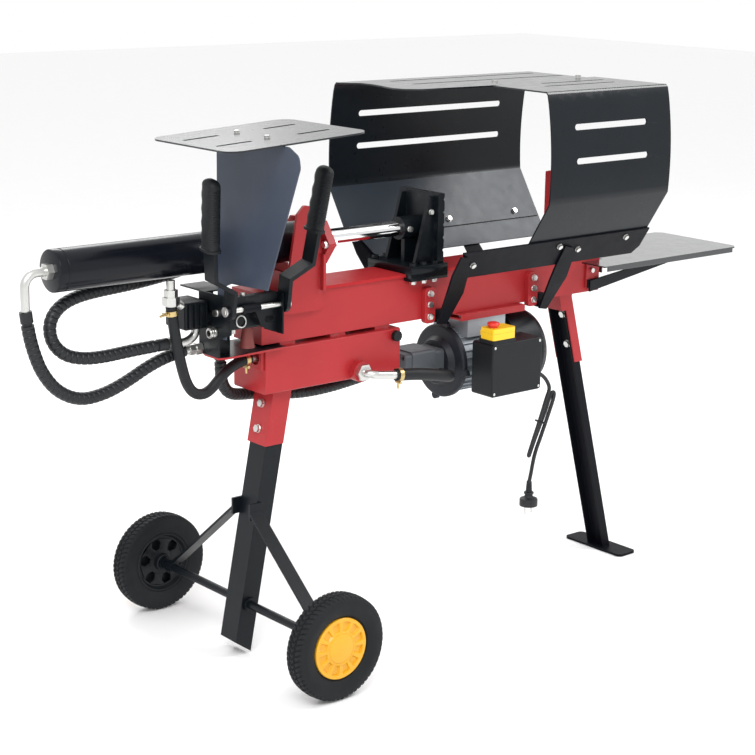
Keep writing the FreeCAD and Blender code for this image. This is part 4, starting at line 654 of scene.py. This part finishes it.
POWER_CORD_ROUTE = [
    (0.226, -0.118, 0.482), (0.243, -0.118, 0.479), (0.264, -0.117, 0.468), (0.278, -0.117, 0.454),
    (0.2856, -0.118, 0.4371), (0.2752, -0.1195, 0.4198), (0.2646, -0.121, 0.396), (0.2529, -0.1215, 0.3684),
    (0.2417, -0.121, 0.3405), (0.2342, -0.1195, 0.3177), (0.2315, -0.1165, 0.3025),
    (0.2357, -0.114, 0.2997), (0.2426, -0.1128, 0.3131), (0.2504, -0.1155, 0.3369),
    (0.2612, -0.118, 0.3649), (0.2736, -0.119, 0.3922), (0.2855, -0.1165, 0.4155),
    (0.2944, -0.1154, 0.428), (0.2985, -0.119, 0.4274), (0.2936, -0.1212, 0.4142), (0.2816, -0.122, 0.3889),
    (0.2695, -0.1222, 0.3615), (0.2574, -0.122, 0.334), (0.2488, -0.121, 0.3137), (0.2446, -0.1198, 0.2975),
    (0.2420, -0.1186, 0.2810), (0.239, -0.118, 0.262), (0.235, -0.118, 0.246)]


# ---- turned pieces --------------------------------------------------------------------------------
def revolve(name, profile, place, direction, key, body="frame", replaced=(), count=96,
            ribs=None, smooth=32.0):
    """Turned piece: profile is (radius, height) in mm along direction from place."""
    axis = Vector(direction).normalized()
    u = axis.orthogonal().normalized()
    w = axis.cross(u)
    verts = []
    for j in range(count):
        angle = 2 * math.pi * j / count
        ray = u * math.cos(angle) + w * math.sin(angle)
        for i, (r, h) in enumerate(profile):
            if ribs:
                r = ribs(i, angle, r, h)
            verts.append(Vector(place) + ray * (r / 1000.0) + axis * (h / 1000.0))
    faces = grid_faces(count, len(profile), True, True)
    return piece(name, verts, faces, key, body, replaced, smooth)


# ---- power cord, its tie and its plug -------------------------------------------------------------
def make_tie():
    """Wire tie round the middle of the folded cord."""
    top, low = mm(704, -118, 437), mm(644, -118, 293)
    middle = top.lerp(low, 0.47)
    along = (low - top).normalized()
    across = Vector((-along.z, 0, along.x))
    half_width, half_depth, aside = 0.0143, 0.0090, 0.0003
    half_thick, half_band = 0.0009, 0.0022
    count, rows = 40, 6
    loop = []
    for k in range(count):
        angle = 2 * math.pi * k / count
        c, s = math.cos(angle), math.sin(angle)
        loop.append(middle + across * (half_width * math.copysign(abs(c) ** 0.8, c) + aside)
                    + Vector((0, 1, 0)) * (half_depth * math.copysign(abs(s) ** 0.8, s)))
    verts = []
    for p in loop:
        ray = (p - middle).normalized()
        for k in range(rows):
            angle = 2 * math.pi * k / rows
            verts.append(p + ray * (half_thick * math.cos(angle)) + along * (half_band * math.sin(angle)))
    faces = grid_faces(count, rows, True, True)
    return piece("cord_tie", verts, faces, "plastic", "frame", (), 60)


def make_plug():
    """Ribbed strain relief, fluted body and two pins, hanging from the end of the cord."""
    head, down = mm(648, -118, 246), Vector((0, 0, -1))
    relief_profile = [(4.05, -2)]
    for k in range(6):
        top, wide = 4.5 * k, 5.0 + 0.30 * k
        relief_profile += [(wide + 0.6, top), (wide + 0.6, top + 2.6)]
        relief_profile += [(wide - 0.5, top + 3.0), (wide - 0.5, top + 4.1)]
    relief_profile += [(6.8, 27), (4.05, 27)]
    relief = revolve("plug_relief", relief_profile, head, down, "cord")
    body_profile = [(0.3, 22), (9.6, 22.2), (10.2, 23), (10.2, 25.6), (9.6, 26.4), (7.8, 27),
                    (8.2, 29.5), (10.2, 33), (14.5, 35), (17.6, 36), (18.6, 37.4), (18.9, 39),
                    (18.9, 50.4), (18.4, 51.6), (17.4, 52.0), (15.2, 52.0), (14.8, 51.2), (0.3, 51.2)]

    def flutes(i, angle, r, h):
        if 28 < h < 34:
            return r - 0.5 * max(0.0, math.cos(10 * angle)) ** 2
        if 36 < h < 51:
            return r - 0.8 * (abs(math.cos(angle)) > 0.955)
        return r

    plug_body = revolve("plug_body", body_profile, head, down, "cord", replaced=("plug",),
                        count=160, ribs=flutes)
    pin = [(0.2, 50), (2.4, 50), (2.4, 60.5), (2.4, 67.8), (1.9, 69.4), (0.9, 70), (0.2, 70)]
    pins = []
    for k, dx in enumerate((-0.0095, 0.0095)):
        pins.append(revolve("plug_pin_%d" % (k + 1), pin, head + Vector((dx, 0, 0)), down, "zinc",
                            count=32))
    return relief, plug_body, pins


def make_cord():
    """Lead from the switch box, folded bundle and tail as one cord, with its tie and its plug."""
    cord = curve_hose("power_lead", "power_cord", POWER_CORD_ROUTE, 0.004, "cord")
    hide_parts("cord_hank")
    tie = make_tie()
    relief, plug_body, pins = make_plug()


make_cord()


# ---- cylinder barrel ------------------------------------------------------------------------------
CYLINDER_Z = 786               # height of the cylinder's axis
BARREL_START, PORT_X = -396, 96


def make_barrel():
    """Hollow barrel with its end cap's groove, and the port boss on its far flank."""
    shell = [(31.5, 6), (31.5, 544), (37.2, 544), (37.5, 543.6), (37.5, 18.6), (37.0, 18.2),
             (36.4, 17.4), (36.4, 15.8), (37.0, 15.0), (37.5, 14.6), (37.5, 1.6), (37.0, 0.6),
             (35.9, 0.0), (0.4, 0), (0.4, 6)]
    revolve("barrel_shell", shell, mm(BARREL_START, 0, CYLINDER_Z), (1, 0, 0), "barrel", replaced=("barrel",),
            count=180)
    port = [(5, 0), (9, 0), (9, 22), (8.4, 22.6), (5, 22.6)]
    revolve("barrel_port", port, mm(PORT_X, 37.3, CYLINDER_Z), (0, 1, 0), "barrel",
            count=48)


make_barrel()


# ---- small rings on the valve ---------------------------------------------------------------------
def ring(name, place, direction, radius, thick):
    """Round wire ring; thick is the wire's radius in mm."""
    circle = [(radius + thick * math.cos(k * math.pi / 6),
               thick * math.sin(k * math.pi / 6)) for k in range(12)]
    revolve(name, circle, place, direction, "zinc", count=64, smooth=60)


ring("valve_snap_ring", mm(-59, -83.2, 670), (0, -1, 0.15), 10.5, 1.5)
ring("boot_ring", mm(-28, -58, 654), (0, 0, 1), 10.2, 1.2)


# ---- lid screws of the switch box -----------------------------------------------------------------
SCREW = [(0.2, 0), (2.7, 0), (2.7, 0.6), (1.9, 1.2), (0.2, 1.2)]
BOX_CORNERS = ((509, 460), (632, 460), (509, 554), (632, 554))
for number, (x, z) in enumerate(BOX_CORNERS):
    revolve("box_screw_%d" % number, SCREW, mm(x, -150, z), (0, -1, 0), "zinc", count=24)


# ---- stop knob: its stem is slimmer than the CAD node's, to stay clear of the lid when pressed ------
KNOB = [(0.2, 1), (8.6, 1), (8.6, 12.8), (10.4, 12.8), (11.0, 13.0), (12.2, 14.4), (12.5, 15.2),
        (12.5, 17.2), (12.2, 18.0), (10.6, 19.8), (9.6, 20.4), (6.0, 21.0), (0.2, 21.3)]
revolve("stop_knob_cap", KNOB, mm(520, -130, 582.3), (0, 0, 1), "knob_red", body="stop",
        replaced=("stop_knob",))


# ---- grips ----------------------------------------------------------------------------------------
LEVER_LEAN = 8.0               # degrees towards the operator, at rest
LEVER_PIVOT = Vector((0, -108, 698))


def lever_frame(line):
    """Bottom, top and direction of a lever's straight upper part, leaning as at rest."""
    (xa, za), (xb, zb) = line
    along = Vector((xb - xa, 0, zb - za))
    length = along.length
    direction = along.normalized()
    across = Vector((direction.z, 0, -direction.x))
    base = Vector((xa, -108, za)) - across * 4.0
    turn = Matrix.Rotation(math.radians(LEVER_LEAN), 4, "X")
    return (turn @ (base - LEVER_PIVOT) + LEVER_PIVOT, (turn @ direction).normalized(),
            (turn @ across).normalized(), (turn @ Vector((0, 1, 0))).normalized(), length + 8.0)


def make_grip(name, node, body, line):
    """Moulded grip: finger waves on the far side, fine ribs, a collar and a rounded end."""
    base, up, across, back, length = lever_frame(line)
    rows, around = 150, 44
    half_width, half_depth, round_from = 12.4, 18.8, 0.90
    power = 2.0 / 2.6
    verts = []
    for i in range(rows + 1):
        s = i / rows
        h = length * s
        end = 1.0
        if s > round_from:
            end = math.sqrt(max(0.0, 1.0 - ((s - round_from) / 0.10) ** 2))
        wave = 1.4 * math.cos(2 * math.pi * h / 25.0)
        rib = 0.35 * (1 if (h / 3.2) % 1.0 < 0.5 else -1) if 14 < h < length - 16 else 0.0
        collar = 2.2 if h < 5 else (0.6 if h < 8 else 0.0)
        for j in range(around):
            angle = 2 * math.pi * j / around
            c, q = math.cos(angle), math.sin(angle)
            x = half_width * math.copysign(abs(c) ** power, c)
            y = half_depth * math.copysign(abs(q) ** power, q)
            front = max(0.0, q)
            k = (1.0 + (collar + rib * (0.3 + 0.7 * abs(q))) / 14.0) * max(end, 0.02)
            y = y * k + wave * front
            p = base + up * h + across * (x * k) + back * y
            verts.append(mm(*p))
    faces = grid_faces(rows + 1, around)
    faces.append(tuple(range(around))[::-1])
    faces.append(tuple(rows * around + j for j in range(around)))
    piece(name, verts, faces, "grip", body, (node,), 40)


make_grip("grip_left_moulded", "grip_left", "left_lever", ((-149, 815), (-158, 936)))
make_grip("grip_right_moulded", "grip_right", "right_lever", ((76, 828), (88, 940)))


# ---- floor, light ---------------------------------------------------------------------------------
def make_floor():
    """White studio floor, just under the wheels."""
    mesh = bpy.data.meshes.new("floor")
    half = 14.0
    corners = [(-half, -half, 0), (half, -half, 0), (half, half, 0), (-half, half, 0)]
    mesh.from_pydata(corners, [], [(0, 1, 2, 3)])
    mesh.materials.append(shade("floor_paint", (0.93, 0.93, 0.93), 0.75, bump=0.01, vary=0.005, grain=60))
    o = bpy.data.objects.new("floor", mesh)
    bpy.context.scene.collection.objects.link(o)
    o.location.z = -0.0008


def area_light(name, place, target, size, power):
    data = bpy.data.lights.new(name, "AREA")
    data.shape = "RECTANGLE"
    data.size, data.size_y = size
    data.energy = power
    o = bpy.data.objects.new(name, data)
    o.location = place
    o.rotation_mode = "QUATERNION"
    o.rotation_quaternion = (Vector(target) - Vector(place)).to_track_quat("-Z", "Y")
    bpy.context.scene.collection.objects.link(o)


def make_light():
    world = bpy.data.worlds.new("studio")
    world.use_nodes = True
    world.node_tree.nodes["Background"].inputs["Color"].default_value = (1.0, 1.0, 1.0, 1)
    world.node_tree.nodes["Background"].inputs["Strength"].default_value = 1.0
    bpy.context.scene.world = world
    area_light("key", (-2.6, -2.2, 3.4), (0, 0, 0.7), (2.2, 1.6), 95)
    area_light("fill", (2.75, -1.65, 3.25), (0.1, 0.1, 0.8), (1.9, 1.3), 62)
    area_light("back", (0.6, 3.2, 2.8), (0, 0, 0.8), (2.6, 1.4), 50)
    bpy.context.scene.view_settings.view_transform = "Standard"


make_floor()
make_light()
